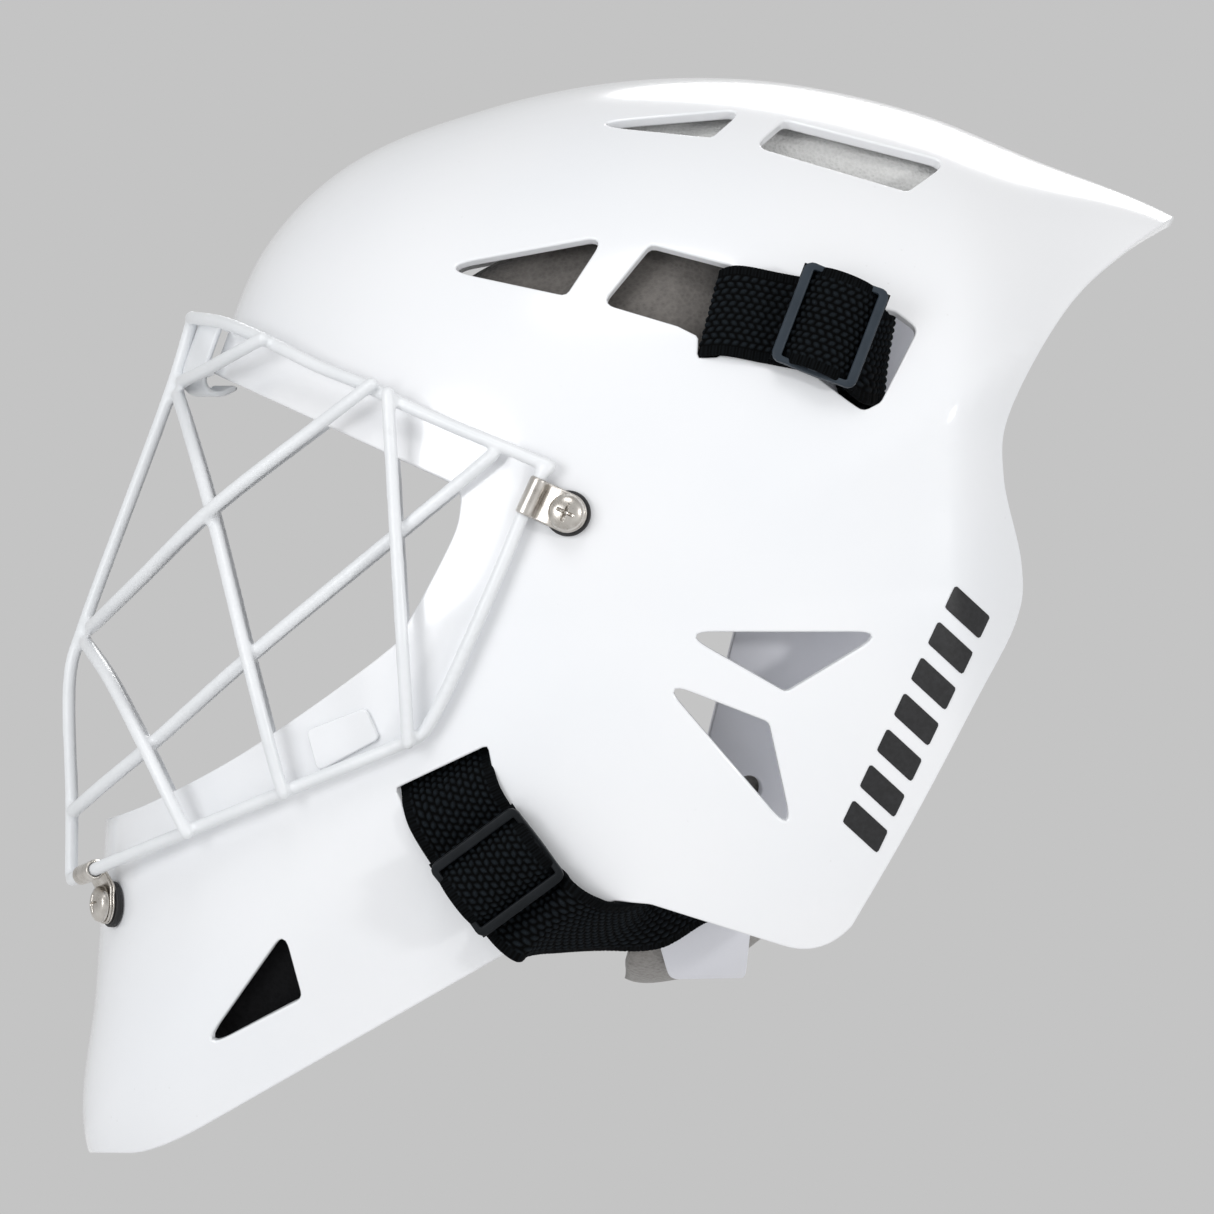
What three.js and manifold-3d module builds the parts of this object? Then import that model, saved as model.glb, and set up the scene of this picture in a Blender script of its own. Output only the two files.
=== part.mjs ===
// Street-hockey goalie mask: a one-piece moulded shell, a welded wire cage held by three P-clips, foam
// padding, and a back plate hung in the open rear on four elastic straps with adjuster slides.
// Millimetres. +Z up, -X is where the wearer looks, -Y is the wearer's left.
// Z = 0 is the chin's lowest point.
import * as THREE from "three";
import { mergeVertices } from "three/addons/utils/BufferGeometryUtils.js";
import { ParametricGeometry } from "three/addons/geometries/ParametricGeometry.js";
import Module from "manifold-3d";

const wasm = await Module();
wasm.setup();

// ---------------------------------------------------------------- driving dimensions
const WALL = 3.2; // shell thickness
const PLAQUE_HEIGHT = 1.5;
const GAP = 0.3; // clearance between pieces that touch
const EAR = [20, 170]; // x, z of the point that every side profile is measured from
const SHELL_HALF_WIDTH = 112;
const ROUNDNESS = 2.4; // power of the radius in a dome's section: more is boxier
const TAIL_START = 95; // x behind which the shell narrows to its tail
const TAIL_LENGTH = 65;
const TAIL_NARROWING = 0.45;
const JAW_TOP = 170; // z below which the shell narrows to the jaw
const JAW_NARROWING_FRONT = 0.3;
const JAW_NARROWING_REAR = 0.12;

const WIRE = 3.8; // cage wire diameter
const LAYER = WIRE + GAP; // offset from one crossing wire to the next
const CAGE_HALF_WIDTH = 116;

const STRAP_WIDTH = 28.4;
const STRAP_THICKNESS = 2;
const SLIDE = { length: 26, width: 31, bar: 3, thickness: 2.4 };
const SCREW = { head: 10.7, headHeight: 3.4, shank: 4.8, length: 13 };
const WASHER = { outer: 13.3, inner: 5.4, height: 2 };
const CLIP = { width: 11.5, sheet: 0.8 };
const NUT = { across: 9, height: 3.6 };
const RIVET = { head: 9, headHeight: 2, shank: 3.4 };
const SLIDE_LIFT = 2 * STRAP_THICKNESS + 2; // two layers of strap lie under a slide's end bars

// Side profiles as [angle in degrees, radius] about EAR, anticlockwise from +X.
const SHELL_PROFILE = [
  [-130, 248.4], [-113.5, 250.8], [-78.1, 194.2], [-52.4, 164], [-28.3, 147.6], [-3.9, 145.3],
  [11.5, 151], [23.2, 165.3], [31.5, 181.8], [35.7, 173.6], [48.9, 155.4], [62.7, 147.5],
  [76.1, 143.3], [95, 141.7], [113.9, 144.9], [131.2, 152.6], [142.8, 153.4], [157.9, 148.9],
  [180, 158], [193.5, 170.8], [206.6, 189.3], [215.7, 211.4], [223.5, 240.9],
];
const CAGE_PROFILE = [
  [-60, 200], [0, 170], [60, 170], [120, 168], [140, 165.5], [153.4, 160.9], [160.7, 156.7], [172, 164],
  [186.4, 175.5], [196, 188], [207, 200.3], [216, 210], [230, 235], [260, 250],
];
const PLATE_CENTRE = [30, 150];
const PLATE_HALF_WIDTH = 86;
const PLATE_WALL = 2.6;
const PLATE_PROFILE = [
  [-120, 125], [-85.1, 101.4], [-54, 70], [-23.3, 65], [4.2, 70], [28.7, 85], [47, 104], [60, 121],
  [90, 128], [120, 120], [180, 110], [220, 118],
];
const PLATE_TRAVEL_CLEAR = 2; // the plate's surface lies this far inside its profile

// ---------------------------------------------------------------- colours and finishes
const finish = (color, roughness, metalness = 0) =>
  new THREE.MeshStandardMaterial({ color, roughness, metalness });
const FINISH = {
  shell: finish(0xf4f5f8, 0.15),
  cage: finish(0xeceef0, 0.3),
  steel: finish(0xb9b5ae, 0.25, 1),
  rubber: finish(0x16171a, 0.7),
  webbing: finish(0x0c0c0e, 0.9),
  slide: finish(0x23262b, 0.5),
  darkFoam: finish(0x4a4744, 0.95),
  felt: finish(0xb4b3ae, 0.95),
  greyFoam: finish(0x8f8d89, 0.95),
  plate: finish(0xe9eaee, 0.3),
};

// ---------------------------------------------------------------- solids
// A three.js geometry as a manifold solid, with its faces turned outwards.
function toSolid(geometry) {
  const bare = geometry.clone();
  for (const name of Object.keys(bare.attributes)) if (name !== "position") bare.deleteAttribute(name);
  const merged = mergeVertices(bare, 1e-4);
  const corners = [];
  const index = merged.index.array;
  for (let i = 0; i < index.length; i += 3) {
    const [a, b, c] = [index[i], index[i + 1], index[i + 2]];
    if (a !== b && b !== c && a !== c) corners.push(a, b, c);
  }
  const build = (triVerts) =>
    new wasm.Manifold(
      new wasm.Mesh({ numProp: 3, vertProperties: merged.attributes.position.array, triVerts }),
    );
  const solid = build(new Uint32Array(corners));
  return solid.volume() > 0 ? solid : build(new Uint32Array(corners.reverse()));
}

function toGeometry(solid) {
  const { vertProperties, triVerts } = solid.getMesh();
  return new THREE.BufferGeometry()
    .setAttribute("position", new THREE.BufferAttribute(new Float32Array(vertProperties), 3))
    .setIndex([...triVerts]);
}

const cut = (solid, ...tools) => tools.reduce((left, tool) => left.subtract(tool), solid);

// The same geometry on the wearer's right, with its triangles turned round.
function mirrored(geometry) {
  const copy = geometry.clone().scale(1, -1, 1);
  const index = copy.index ? [...copy.index.array] : [...Array(copy.attributes.position.count).keys()];
  return copy.setIndex(index.reverse());
}

// ---------------------------------------------------------------- domes
const smooth = (t) => {
  const u = Math.min(1, Math.max(0, t));
  return u * u * (3 - 2 * u);
};

// Radius of a side profile at an angle: a periodic cubic through its points.
function profileRadius(profile, angle) {
  const turn = (degrees) => ((degrees % 360) + 360) % 360;
  const first = profile[0][0];
  const a = first + turn(angle - first);
  const count = profile.length;
  let i = profile.findLastIndex(([degrees]) => degrees <= a);
  const at = (k) => {
    const wraps = Math.floor(k / count);
    const [degrees, radius] = profile[k - wraps * count];
    return [degrees + 360 * wraps, radius];
  };
  const [p0, p1, p2, p3] = [at(i - 1), at(i), at(i + 1), at(i + 2)];
  const span = p2[0] - p1[0];
  const t = (a - p1[0]) / span;
  const slope1 = ((p2[1] - p0[1]) / (p2[0] - p0[0])) * span;
  const slope2 = ((p3[1] - p1[1]) / (p3[0] - p1[0])) * span;
  const t2 = t * t;
  const t3 = t2 * t;
  return (2 * t3 - 3 * t2 + 1) * p1[1] + (t3 - 2 * t2 + t) * slope1 +
    (3 * t2 - 2 * t3) * p2[1] + (t3 - t2) * slope2;
}

// How much narrower than its full width the mask is at a place in its side view.
function taper(x, z) {
  const tail = 1 - TAIL_NARROWING * smooth((x - TAIL_START) / TAIL_LENGTH);
  const frontness = smooth((EAR[0] - x) / 120);
  const narrowing = JAW_NARROWING_REAR + (JAW_NARROWING_FRONT - JAW_NARROWING_REAR) * frontness;
  return tail * (1 - narrowing * smooth((JAW_TOP - z) / JAW_TOP));
}

const domes = {
  shell: { centre: EAR, profile: SHELL_PROFILE, halfWidth: SHELL_HALF_WIDTH, taper },
  cage: { centre: EAR, profile: CAGE_PROFILE, halfWidth: CAGE_HALF_WIDTH, taper },
  plate: { centre: PLATE_CENTRE, profile: PLATE_PROFILE, halfWidth: PLATE_HALF_WIDTH, taper: () => 1 },
};

// Half width of a dome, offset outwards, at a place in its side view: W * taper * sqrt(1 - s^n).
function halfWidthAt(dome, x, z, offset = 0) {
  const [dx, dz] = [x - dome.centre[0], z - dome.centre[1]];
  const radius = profileRadius(dome.profile, THREE.MathUtils.radToDeg(Math.atan2(dz, dx))) + offset;
  const s = Math.hypot(dx, dz) / radius;
  return (dome.halfWidth + offset) * dome.taper(x, z) * Math.sqrt(Math.max(0, 1 - s ** ROUNDNESS));
}

// The closed solid inside a dome's surface.
function domeSolid(dome, offset, around = 40, across = 16) {
  const point = (u, v, target) => {
    const angle = u * 2 * Math.PI;
    const tilt = (v - 0.5) * Math.PI;
    const radius = profileRadius(dome.profile, THREE.MathUtils.radToDeg(angle)) + offset;
    const s = Math.max(0, Math.cos(tilt)) ** (2 / ROUNDNESS);
    const x = dome.centre[0] + s * radius * Math.cos(angle);
    const z = dome.centre[1] + s * radius * Math.sin(angle);
    target.set(x, (dome.halfWidth + offset) * dome.taper(x, z) * Math.sin(tilt), z);
  };
  const onAxis = (u, v, target) => point(u === 1 ? 0 : u, v, target);
  return toSolid(new ParametricGeometry(onAxis, around, across));
}

// A point on the wearer's left of a dome, lifted along the surface's normal, and that normal.
function onDome(dome, x, z, lift = 0) {
  const step = 0.5;
  const y = halfWidthAt(dome, x, z);
  const slopeX = (halfWidthAt(dome, x + step, z) - halfWidthAt(dome, x - step, z)) / (2 * step);
  const slopeZ = (halfWidthAt(dome, x, z + step) - halfWidthAt(dome, x, z - step)) / (2 * step);
  const normal = new THREE.Vector3(-slopeX, -1, -slopeZ).normalize();
  return { point: new THREE.Vector3(x, -y, z).addScaledVector(normal, lift), normal };
}

// ---------------------------------------------------------------- outlines and prisms
// A polygon with round corners: each point is [x, z] or [x, z, corner radius].
function rounded(points, radius = 2.5) {
  const shape = new THREE.Shape();
  points.forEach(([x, z, r = radius], i) => {
    const here = new THREE.Vector2(x, z);
    const before = new THREE.Vector2(...points.at(i - 1).slice(0, 2)).sub(here);
    const after = new THREE.Vector2(...points[(i + 1) % points.length].slice(0, 2)).sub(here);
    const half = before.angleTo(after) / 2;
    const back = Math.min(r / Math.tan(half), before.length() * 0.45, after.length() * 0.45);
    const start = here.clone().addScaledVector(before.normalize(), back);
    const end = here.clone().addScaledVector(after.normalize(), back);
    if (i === 0) shape.moveTo(start.x, start.y);
    else shape.lineTo(start.x, start.y);
    shape.quadraticCurveTo(x, z, end.x, end.y);
  });
  return shape;
}

// A side-view outline as a solid that runs across the mask from y0 to y1.
function acrossPrism(shape, y0 = -200, y1 = 200, curveSegments = 1) {
  const geometry = new THREE.ExtrudeGeometry(shape, { depth: y1 - y0, bevelEnabled: false, curveSegments });
  return toSolid(geometry.rotateX(Math.PI / 2).translate(0, y1, 0));
}

// A plan-view outline (x, y) as a solid that runs up through the mask.
function uprightPrism(shape, z0 = -20, z1 = 340) {
  const geometry = new THREE.ExtrudeGeometry(shape, { depth: z1 - z0, bevelEnabled: false, curveSegments: 3 });
  return toSolid(geometry.translate(0, 0, z0));
}

// ---------------------------------------------------------------- placing small parts
// The frame of a part that sits on a surface: its Z is the normal, its X the given direction laid on it.
function seat({ point, normal }, direction) {
  const along = direction.clone().addScaledVector(normal, -direction.dot(normal)).normalize();
  const sideways = new THREE.Vector3().crossVectors(normal, along);
  return new THREE.Matrix4().makeBasis(along, sideways, normal).setPosition(point);
}

// A round piece turned about its own Z from a profile of [radius, height] points.
function turned(profile, segments = 14) {
  const outline = profile.map(([radius, height]) => new THREE.Vector2(radius, height));
  return new THREE.LatheGeometry(outline, segments).rotateX(Math.PI / 2);
}

const drill = (diameter, depth, frame, segments = 12) =>
  toSolid(new THREE.CylinderGeometry(diameter / 2, diameter / 2, 2 * depth, segments)
    .rotateX(Math.PI / 2).applyMatrix4(frame));

// ---------------------------------------------------------------- the shell
const trim = new THREE.Shape();
trim.moveTo(-200, 0);
trim.lineTo(-141, 0);
trim.quadraticCurveTo(-133, 0.6, -118, 9.3);
trim.lineTo(-31.6, 58.9);
trim.quadraticCurveTo(-10, 71.5, -1.2, 73.4);
trim.lineTo(9, 72.5);
trim.lineTo(46.7, 60.6);
trim.quadraticCurveTo(58.5, 56.5, 67.4, 66.2);
trim.splineThru(
  [[83.7, 94.3], [102.9, 130.5], [115, 154.5], [116.4, 171], [111.2, 196], [113.2, 215], [129.9, 244.8],
    [147.6, 261.9], [161, 271.2]].map(([x, z]) => new THREE.Vector2(x, z)),
);
trim.lineTo(195, 290);
trim.lineTo(195, 340);
trim.lineTo(-200, 340);

const eyeOpening = new THREE.Shape();
eyeOpening.moveTo(-220, 96.5);
eyeOpening.lineTo(-148.8, 96.9);
eyeOpening.splineThru(
  [[-134, 102.7], [-105.9, 118], [-67.9, 145], [-60.3, 155.2], [-48.1, 178.4], [-45.8, 188.5]].map(
    ([x, z]) => new THREE.Vector2(x, z),
  ),
);
eyeOpening.quadraticCurveTo(-46, 193, -50, 194.8);
eyeOpening.lineTo(-117.6, 226);
eyeOpening.lineTo(-220, 274);

const VENTS = {
  crownFront: [[-12.8, 298.1], [36.1, 302.4], [26.7, 294.1]],
  crownRear: [[38.9, 291.5], [47.8, 299.3], [95.4, 287.1], [83.2, 278.4]],
  templeTriangle: [[-53.5, 256.4], [-4.1, 265.4], [-15.4, 248.2]],
  strapSlotFront: [
    [-4.9, 245.9], [9, 263], [35.8, 259.6, 1], [31, 227.6, 0.5], [22.4, 227.8, 0.5],
    [22.8, 236.4, 1], [16.8, 239.4],
  ],
  strapSlotRear: [
    [64, 252.6, 1], [76, 250], [85.5, 239], [74.8, 216.8], [70.8, 215.4], [66.5, 218.6], [57, 224.8, 1],
  ],
  earUpper: [[17.7, 151.1], [77.1, 151.1], [48.1, 133.7]],
  earLower: [[11.9, 137.2], [43.2, 125], [50.5, 92.2]],
  chin: [[-96.9, 64.7], [-91.6, 45.2], [-121.5, 29.9]],
  jawStrapSlot: [[-65.4, 105.5, 1], [-37.2, 118.8, 1], [-32.4, 108.6, 1], [-60.6, 95.3, 1]],
};

// The lower strap's straight run on the jaw, seen from the side, and the upper strap's on the ear.
const LOWER_RUN = { slide: [-34, 83.5], direction: new THREE.Vector3(0.592, 0, -0.806), lift: 1.4 };
const UPPER_RUN = { slide: [60, 237.5], direction: new THREE.Vector3(0.934, 0, -0.358), lift: 1.2 };

// Where the cage's clips are screwed on: the wire's middle inside the clip, and the screw.
const TEMPLE = { wire: [-24.6, 191], wireEnds: [[-22.4, 196.6], [-27.6, 185.2]], screw: [-14.6, 185.2] };
const CHIN = { wire: [-154.3, 81.2], wireEnds: [[-151.3, 82.6], [-155.9, 80.6]], screw: [-145.6, 72.2] };

function clipSeat({ screw, wireEnds }) {
  const place = onDome(domes.shell, ...screw);
  const [top, bottom] = wireEnds.map(([x, z]) => onDome(domes.cage, x, z).point);
  return seat(place, new THREE.Vector3().crossVectors(place.normal, top.sub(bottom)));
}
const templeSeat = clipSeat(TEMPLE);
const chinSeat = clipSeat(CHIN);

// A low plaque moulded on each side of the jaw.
const plaque = domeSolid(domes.shell, PLAQUE_HEIGHT).intersect(acrossPrism(
  rounded([[-89.7, 122.9], [-72.6, 129.5], [-68.5, 120.5], [-86.4, 110.8]], 2),
));
const outerSolid = domeSolid(domes.shell, 0).add(plaque);
const innerSolid = domeSolid(domes.shell, -WALL);
const rightOf = (frame) => new THREE.Matrix4().makeScale(1, -1, 1).multiply(frame);
const screwHole = SCREW.shank + 2 * GAP;
const shellSolid = cut(
  outerSolid.subtract(innerSolid).intersect(acrossPrism(trim, -200, 200, 3)),
  acrossPrism(eyeOpening, -200, 200, 3),
  ...Object.values(VENTS).map((outline) => acrossPrism(rounded(outline))),
  drill(screwHole, 12, templeSeat),
  drill(screwHole, 12, rightOf(templeSeat)),
  drill(screwHole, 12, chinSeat),
  drill(screwHole, 12, rightOf(chinSeat)),
);

// ---------------------------------------------------------------- padding
// A layer between two depths inside a dome, kept where a prism says.
function layer(dome, outerDepth, innerDepth, prism, around = 26, across = 12) {
  return domeSolid(dome, -outerDepth, around, across)
    .subtract(domeSolid(dome, -innerDepth, around, across))
    .intersect(prism);
}
const PAD_TOP = WALL + 1.6;
const CROWN_REST = 286; // height of the flat underside that rests on the head
const crownPad = (() => {
  const plan = rounded([[-52, -44], [100, -48], [100, 48], [-52, 44]], 14);
  const below = acrossPrism(rounded([[-200, 0], [200, 0], [200, CROWN_REST], [-200, CROWN_REST]], 1));
  return domeSolid(domes.shell, -PAD_TOP, 26, 12)
    .intersect(uprightPrism(plan, 240))
    .subtract(domeSolid(domes.shell, -PAD_TOP - 12, 26, 12).intersect(below));
})();
const browPad = layer(
  domes.shell, PAD_TOP, PAD_TOP + 16,
  acrossPrism(rounded([[-160, 246], [-96, 226], [-64, 236], [-62, 262], [-160, 270]], 4), -74, 74),
);
const SIDE_PADS = {
  temple_pad: {
    top: WALL + 6.5, depth: 14, material: FINISH.darkFoam,
    outline: rounded([[-44, 200], [-52, 250], [-8, 276], [34, 270], [30, 200], [-8, 203]], 6),
  },
  cheek_pad: {
    depth: 18, material: FINISH.darkFoam,
    outline: rounded([[-33, 112], [-26, 160], [-14, 176], [18, 174], [17, 128], [2, 92]], 7),
  },
  chin_pad: {
    top: WALL + 4, depth: 13, material: FINISH.darkFoam,
    outline: rounded([[-128, 22], [-132, 84], [-86, 84], [-80, 44]], 6),
  },
};

// ---------------------------------------------------------------- the cage
// A wire whose side view runs through the points [x, z, offset in layers], on the cage's dome.
// ends: "centre" makes the last point lie against the centre bar, with the points drawn close there.
function wirePoints(route, ends, count) {
  const flat = new THREE.CatmullRomCurve3(
    route.map(([x, z, layers = 0]) => new THREE.Vector3(x, layers * LAYER, z)), false, "centripetal",
  );
  return Array.from({ length: count + 1 }, (_, i) => {
    const t = i / count;
    const { x, y: offset, z } = flat.getPoint(ends === "centre" ? 1 - (1 - t) ** 2 : t);
    return new THREE.Vector3(x, -halfWidthAt(domes.cage, x, z, offset), z);
  });
}

function wireGeometry(points, steps, sides = 8) {
  const section = new THREE.Shape().absarc(0, 0, WIRE / 2, 0, 2 * Math.PI);
  const shape = new THREE.Shape(section.getPoints(sides / 4).slice(0, -1));
  const extrudePath = new THREE.CatmullRomCurve3(points, false, "centripetal");
  return new THREE.ExtrudeGeometry(shape, { extrudePath, steps, bevelEnabled: false });
}

const TOP_WIRE = [
  [-20, 198.7], [-34.5, 204.9], [-46.3, 209.7], [-64.5, 217.8], [-74.2, 222.6], [-87, 227.8], [-103.6, 236],
  [-114.9, 240.6], [-123.9, 242.1],
];
const LOWER_WIRE = [
  [-22.4, 196.6], [-27.6, 185.2], [-34.7, 168], [-53.9, 126], [-57.1, 121.6], [-62, 119.2], [-94.5, 105.9],
  [-125.6, 93.2], [-149.1, 83.5], [-158.6, 79.4],
];
const CENTRE_WIRE = [
  [-123.6, 240.6], [-129.4, 222.5], [-155.6, 151.5], [-159, 140], [-158.6, 99.2], [-158.8, 83.9],
];
const BARS = {
  brow_bar: {
    route: [[-103, 235.8, 1], [-110, 232, 0.9], [-120, 226.7, 0.2], [-126.6, 223.6, 0]],
    ends: "centre",
  },
  inner_bar: {
    route: [[-96.8, 104.6, 1.05], [-98.8, 111, 0.9], [-107.6, 144.8, 0.5], [-117.7, 185.6, 0], [-125, 210.8, 0],
      [-127.8, 219.6, 0]],
    ends: "centre",
  },
  upper_cross_bar: {
    route: [[-71.3, 222.6, 1.05], [-78, 217.4, 1], [-118.2, 186.3, 1], [-138, 167, 0.4], [-152.8, 152.6, 0]],
    ends: "centre",
  },
  lower_cross_bar: {
    route: [[-36.4, 202.1, 0], [-45, 195, -0.2], [-64.5, 179, -0.6], [-106.8, 144, -0.6], [-136.9, 117.2, -0.6],
      [-150, 106.3, -0.2], [-158, 99.3, 0]],
    ends: "centre",
  },
  side_bar: {
    route: [[-66.6, 219.9, 1.05], [-66.3, 213, 1], [-64.4, 180, 0.8], [-61.4, 130, 1], [-60.8, 119.2, 1.05]],
    ends: "open",
  },
  jaw_bar: {
    route: [[-124.9, 93, 1.05], [-128, 99.2, 1], [-136.9, 117.5, 0.6], [-148, 138.5, 0.2], [-154.6, 148, 0]],
    ends: "centre",
  },
};
const bothSides = (half) => [
  ...half,
  ...half.slice(0, -1).reverse().map(({ x, y, z }) => new THREE.Vector3(x, -y, z)),
];

// ---------------------------------------------------------------- clips, screws, washers and nuts
// One clip set in its seat's frame: X towards the wire, Z out of the shell. The wire's place is [x, z].
function clipSet(wireAt) {
  const [wireX, wireZ] = wireAt;
  const eye = WIRE / 2 + 0.5;
  const lower = WASHER.height + GAP;
  const tail = -CLIP.width / 2;
  const bend = SCREW.head / 2 + 0.4;
  const side = new THREE.Shape(
    [
      [tail, lower], [bend, lower],
      [wireX - 0.5 * eye, wireZ - 1.1 * eye], [wireX - 1.1 * eye, wireZ + 0.5 * eye],
      [bend - 0.6, lower + 2 * CLIP.sheet], [tail, lower + 2 * CLIP.sheet],
    ].map(([x, z]) => new THREE.Vector2(x, z)),
  );
  const legs = toSolid(
    new THREE.ExtrudeGeometry(side, { depth: CLIP.width, bevelEnabled: false })
      .rotateX(Math.PI / 2).translate(0, CLIP.width / 2, 0),
  );
  const barrel = (radius, length) => toSolid(
    new THREE.CylinderGeometry(radius, radius, length, 18).translate(wireX, 0, 0)
      .applyMatrix4(new THREE.Matrix4().makeTranslation(0, 0, wireZ)),
  );
  const strip = legs.add(barrel(eye + CLIP.sheet, CLIP.width)).subtract(barrel(eye, 2 * CLIP.width));
  const plan = new THREE.Shape();
  plan.absarc(0, 0, CLIP.width / 2, Math.PI / 2, 1.5 * Math.PI, false);
  plan.lineTo(30, -CLIP.width / 2);
  plan.lineTo(30, CLIP.width / 2);
  const round = toSolid(
    new THREE.ExtrudeGeometry(plan, { depth: 40, bevelEnabled: false, curveSegments: 8 })
      .translate(0, 0, -10),
  );
  const hole = drill(screwHole, 30, new THREE.Matrix4());
  const clip = toGeometry(cut(strip.intersect(round), hole));

  const top = lower + 2 * CLIP.sheet + GAP;
  const { head, headHeight, shank, length } = SCREW;
  const recess = toSolid(new THREE.BoxGeometry(6, 1.2, 3).translate(0, 0, top + headHeight))
    .add(toSolid(new THREE.BoxGeometry(1.2, 6, 3).translate(0, 0, top + headHeight)));
  const screwBody = toSolid(turned([
    [0, top - length], [shank / 2, top - length], [shank / 2, top], [head / 2, top],
    [head / 2, top + 0.9], [head / 2 - 1, top + 2.2], [head / 2 - 2.8, top + headHeight - 0.3],
    [0, top + headHeight],
  ]));
  const screw = toGeometry(screwBody.subtract(recess));
  const washer = turned([
    [WASHER.inner / 2, GAP], [WASHER.outer / 2, GAP], [WASHER.outer / 2, GAP + WASHER.height - 0.3],
    [WASHER.inner / 2, GAP + WASHER.height - 0.3], [WASHER.inner / 2, GAP],
  ]);
  const nutShape = new THREE.Shape(
    Array.from({ length: 6 }, (_, i) => {
      const angle = (i * Math.PI) / 3;
      const corner = NUT.across / Math.sqrt(3);
      return new THREE.Vector2(corner * Math.cos(angle), corner * Math.sin(angle));
    }),
  );
  nutShape.holes.push(new THREE.Path().absarc(0, 0, screwHole / 2, 0, 2 * Math.PI, true));
  const nutOptions = { depth: NUT.height, bevelEnabled: false, curveSegments: 6 };
  const nut = new THREE.ExtrudeGeometry(nutShape, nutOptions)
    .translate(0, 0, -WALL - 0.9 - NUT.height);
  return { clip, screw, washer, nut };
}

// ---------------------------------------------------------------- straps
// A flat strip through stations { point, across }: a rectangle carried along a smooth curve.
function ribbon(stations, steps, width = STRAP_WIDTH, thickness = STRAP_THICKNESS) {
  const middle = new THREE.CatmullRomCurve3(stations.map(({ point }) => point), false, "centripetal");
  const widths = new THREE.CatmullRomCurve3(stations.map(({ across }) => across), false, "centripetal");
  const positions = [];
  for (let i = 0; i <= steps; i += 1) {
    const t = i / steps;
    const point = middle.getPoint(t);
    const tangent = middle.getTangent(t);
    const across = widths.getPoint(t);
    across.addScaledVector(tangent, -across.dot(tangent)).normalize();
    const up = new THREE.Vector3().crossVectors(tangent, across);
    for (const [a, b] of [[-1, -1], [1, -1], [1, 1], [-1, 1]]) {
      const corner = point.clone()
        .addScaledVector(across, (a * width) / 2)
        .addScaledVector(up, (b * thickness) / 2);
      positions.push(corner.x, corner.y, corner.z);
    }
  }
  const index = [0, 2, 1, 0, 3, 2];
  for (let i = 0; i < steps; i += 1)
    for (let k = 0; k < 4; k += 1) {
      const [a, b] = [4 * i + k, 4 * i + ((k + 1) % 4)];
      index.push(a, b, b + 4, a, b + 4, a + 4);
    }
  const last = 4 * steps;
  index.push(last, last + 1, last + 2, last, last + 2, last + 3);
  return new THREE.BufferGeometry()
    .setAttribute("position", new THREE.BufferAttribute(new Float32Array(positions), 3))
    .setIndex(index);
}

const HALF = STRAP_THICKNESS / 2;
const HOLLOW = 2.2; // a flat strap inside a curved wall meets it with its edges first
function station(dome, [x, z], lift, across) {
  const { point, normal } = onDome(dome, x, z, lift);
  return { point, across: across.clone().addScaledVector(normal, -across.dot(normal)).normalize() };
}
const OUTSIDE = HALF + GAP;
const INSIDE = -WALL - HALF - HOLLOW;
const PLATE_LIFT = HALF + 2 * GAP - PLATE_TRAVEL_CLEAR;

const upAcross = new THREE.Vector3(0.28, 0, 0.96);
const slideAcross = new THREE.Vector3(0.343, 0, 0.939);
const plateAcross = new THREE.Vector3(0.1, -0.3, 0.95);
const upperStations = [
  station(domes.shell, [50, 240.4], INSIDE, upAcross),
  station(domes.shell, [38, 242], INSIDE, upAcross),
  station(domes.shell, [32, 242.6], INSIDE + 0.4, upAcross),
  station(domes.shell, [28.2, 243], -WALL / 2, upAcross),
  station(domes.shell, [32, 242.6], OUTSIDE, upAcross),
  station(domes.shell, [44, 240.6], OUTSIDE + 0.05, upAcross),
  station(domes.shell, [60.5, 237], OUTSIDE, slideAcross),
  station(domes.shell, [67, 235], OUTSIDE - 0.7, slideAcross),
  station(domes.shell, [73, 232.5], -4.5, slideAcross),
  { point: new THREE.Vector3(76.4, -86, 230.5), across: new THREE.Vector3(0.2, 0.05, 0.97) },
  { point: new THREE.Vector3(76.2, -76, 229.5), across: plateAcross },
  { point: new THREE.Vector3(73.6, -67.4, 229), across: plateAcross },
  station(domes.plate, [69.4, 228.5], PLATE_LIFT + 0.1, plateAcross),
  station(domes.plate, [61.5, 228], PLATE_LIFT, plateAcross),
];
const UPPER_RIVET = [64.8, 228.2];

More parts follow.
